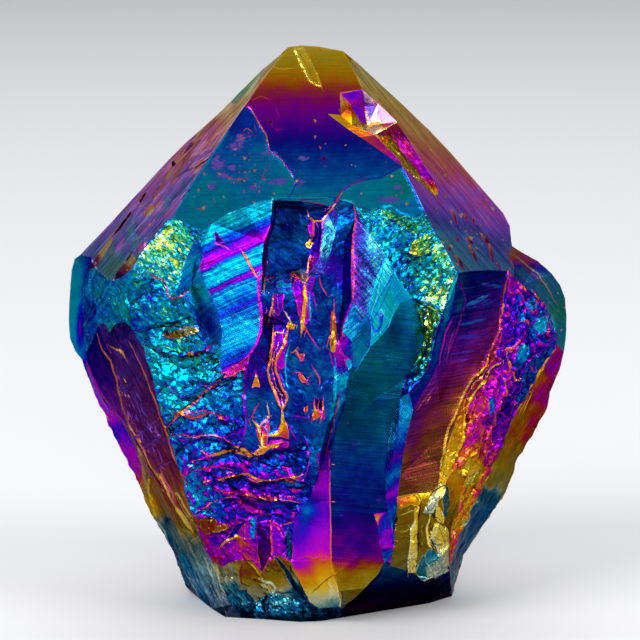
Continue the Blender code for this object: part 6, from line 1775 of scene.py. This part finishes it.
    # tilt of each small cell, and a fine tooth
    tilt = vm("SCALE", vm("SUBTRACT", sugar.outputs["Color"], (.5, .5, .5)), scale=m("MULTIPLY_ADD", gr, .26, .01))
    tilt2 = vm("SCALE", vm("SUBTRACT", coarse.outputs["Color"], (.5, .5, .5)), scale=m("MULTIPLY", gr, .24))
    bump = N("ShaderNodeBump")
    bump.inputs["Strength"].default_value = 0.35
    bump.inputs["Distance"].default_value = 0.0002
    L(m("ADD", noise(where, 1500, 3), m("MULTIPLY", m("MULTIPLY", hair, sa), 1.2)), bump.inputs["Height"])
    normal = vm("NORMALIZE", vm("ADD", vm("ADD", bump.outputs["Normal"], tilt), tilt2))

    bsdf = N("ShaderNodeBsdfPrincipled")
    out = N("ShaderNodeOutputMaterial")
    L(bsdf.outputs[0], out.inputs["Surface"])
    L(colour, bsdf.inputs["Base Color"])
    L(normal, bsdf.inputs["Normal"])
    bsdf.inputs["Metallic"].default_value = 1.0
    bsdf.inputs["Specular Tint"].default_value = (.36, .34, .40, 1)
    L(m("ADD", attr("rgh"), m("MULTIPLY", cloud, .12), clamp=True), bsdf.inputs["Roughness"])
    return mat


piece = make_piece()
piece.data.materials.append(aura_material())
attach(piece, "root")
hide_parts("amethyst_point")


# ================================================================ camera, floor and light
def look_at(obj, target):
    obj.rotation_euler = (Vector(target) - obj.location).to_track_quat("-Z", "Y").to_euler()


cam = bpy.data.cameras.new("camera")
cam.sensor_width = 36
cam.lens = 36 * STATION / (2 * 320 * UNIT)
cam.clip_start, cam.clip_end = 0.05, 50
camera = bpy.data.objects.new("camera", cam)
camera.location = Vector(EYE * 0.001)
look_at(camera, (0, 0, MIDDLE_Z * 0.001))
bpy.context.scene.collection.objects.link(camera)
bpy.context.scene.camera = camera

floor_mesh = bpy.data.meshes.new("floor")
floor_mesh.from_pydata([(-6, -6, 0), (6, -6, 0), (6, 6, 0), (-6, 6, 0)], [], [(0, 1, 2, 3)])
floor = bpy.data.objects.new("floor", floor_mesh)
bpy.context.scene.collection.objects.link(floor)
floor_mat = bpy.data.materials.new("floor")
floor_mat.use_nodes = True
fb = floor_mat.node_tree.nodes["Principled BSDF"]
fb.inputs["Base Color"].default_value = (.50, .50, .51, 1)
fb.inputs["Roughness"].default_value = 0.6
floor_mesh.materials.append(floor_mat)

world = bpy.data.worlds.new("world")
bpy.context.scene.world = world
world.use_nodes = True
world.node_tree.nodes["Background"].inputs["Color"].default_value = (.93, .96, 1, 1)
world.node_tree.nodes["Background"].inputs["Strength"].default_value = 0.55


def softbox(name, place, size, power, aim=(0, 0, .06)):
    light = bpy.data.lights.new(name, "AREA")
    light.shape = "RECTANGLE"
    light.size, light.size_y = size
    light.energy = power
    obj = bpy.data.objects.new(name, light)
    obj.location = place
    look_at(obj, aim)
    bpy.context.scene.collection.objects.link(obj)


softbox("key_left", (-.85, -.70, .80), (.8, .8), 19)
softbox("fill_right", (.95, -.45, .65), (.6, .8), 11)
softbox("top_back", (0, .65, 1.15), (1.5, 1.1), 13)
softbox("front_low", (.10, -1.35, .62), (.7, .3), 5)

bpy.context.scene.view_settings.view_transform = "Standard"
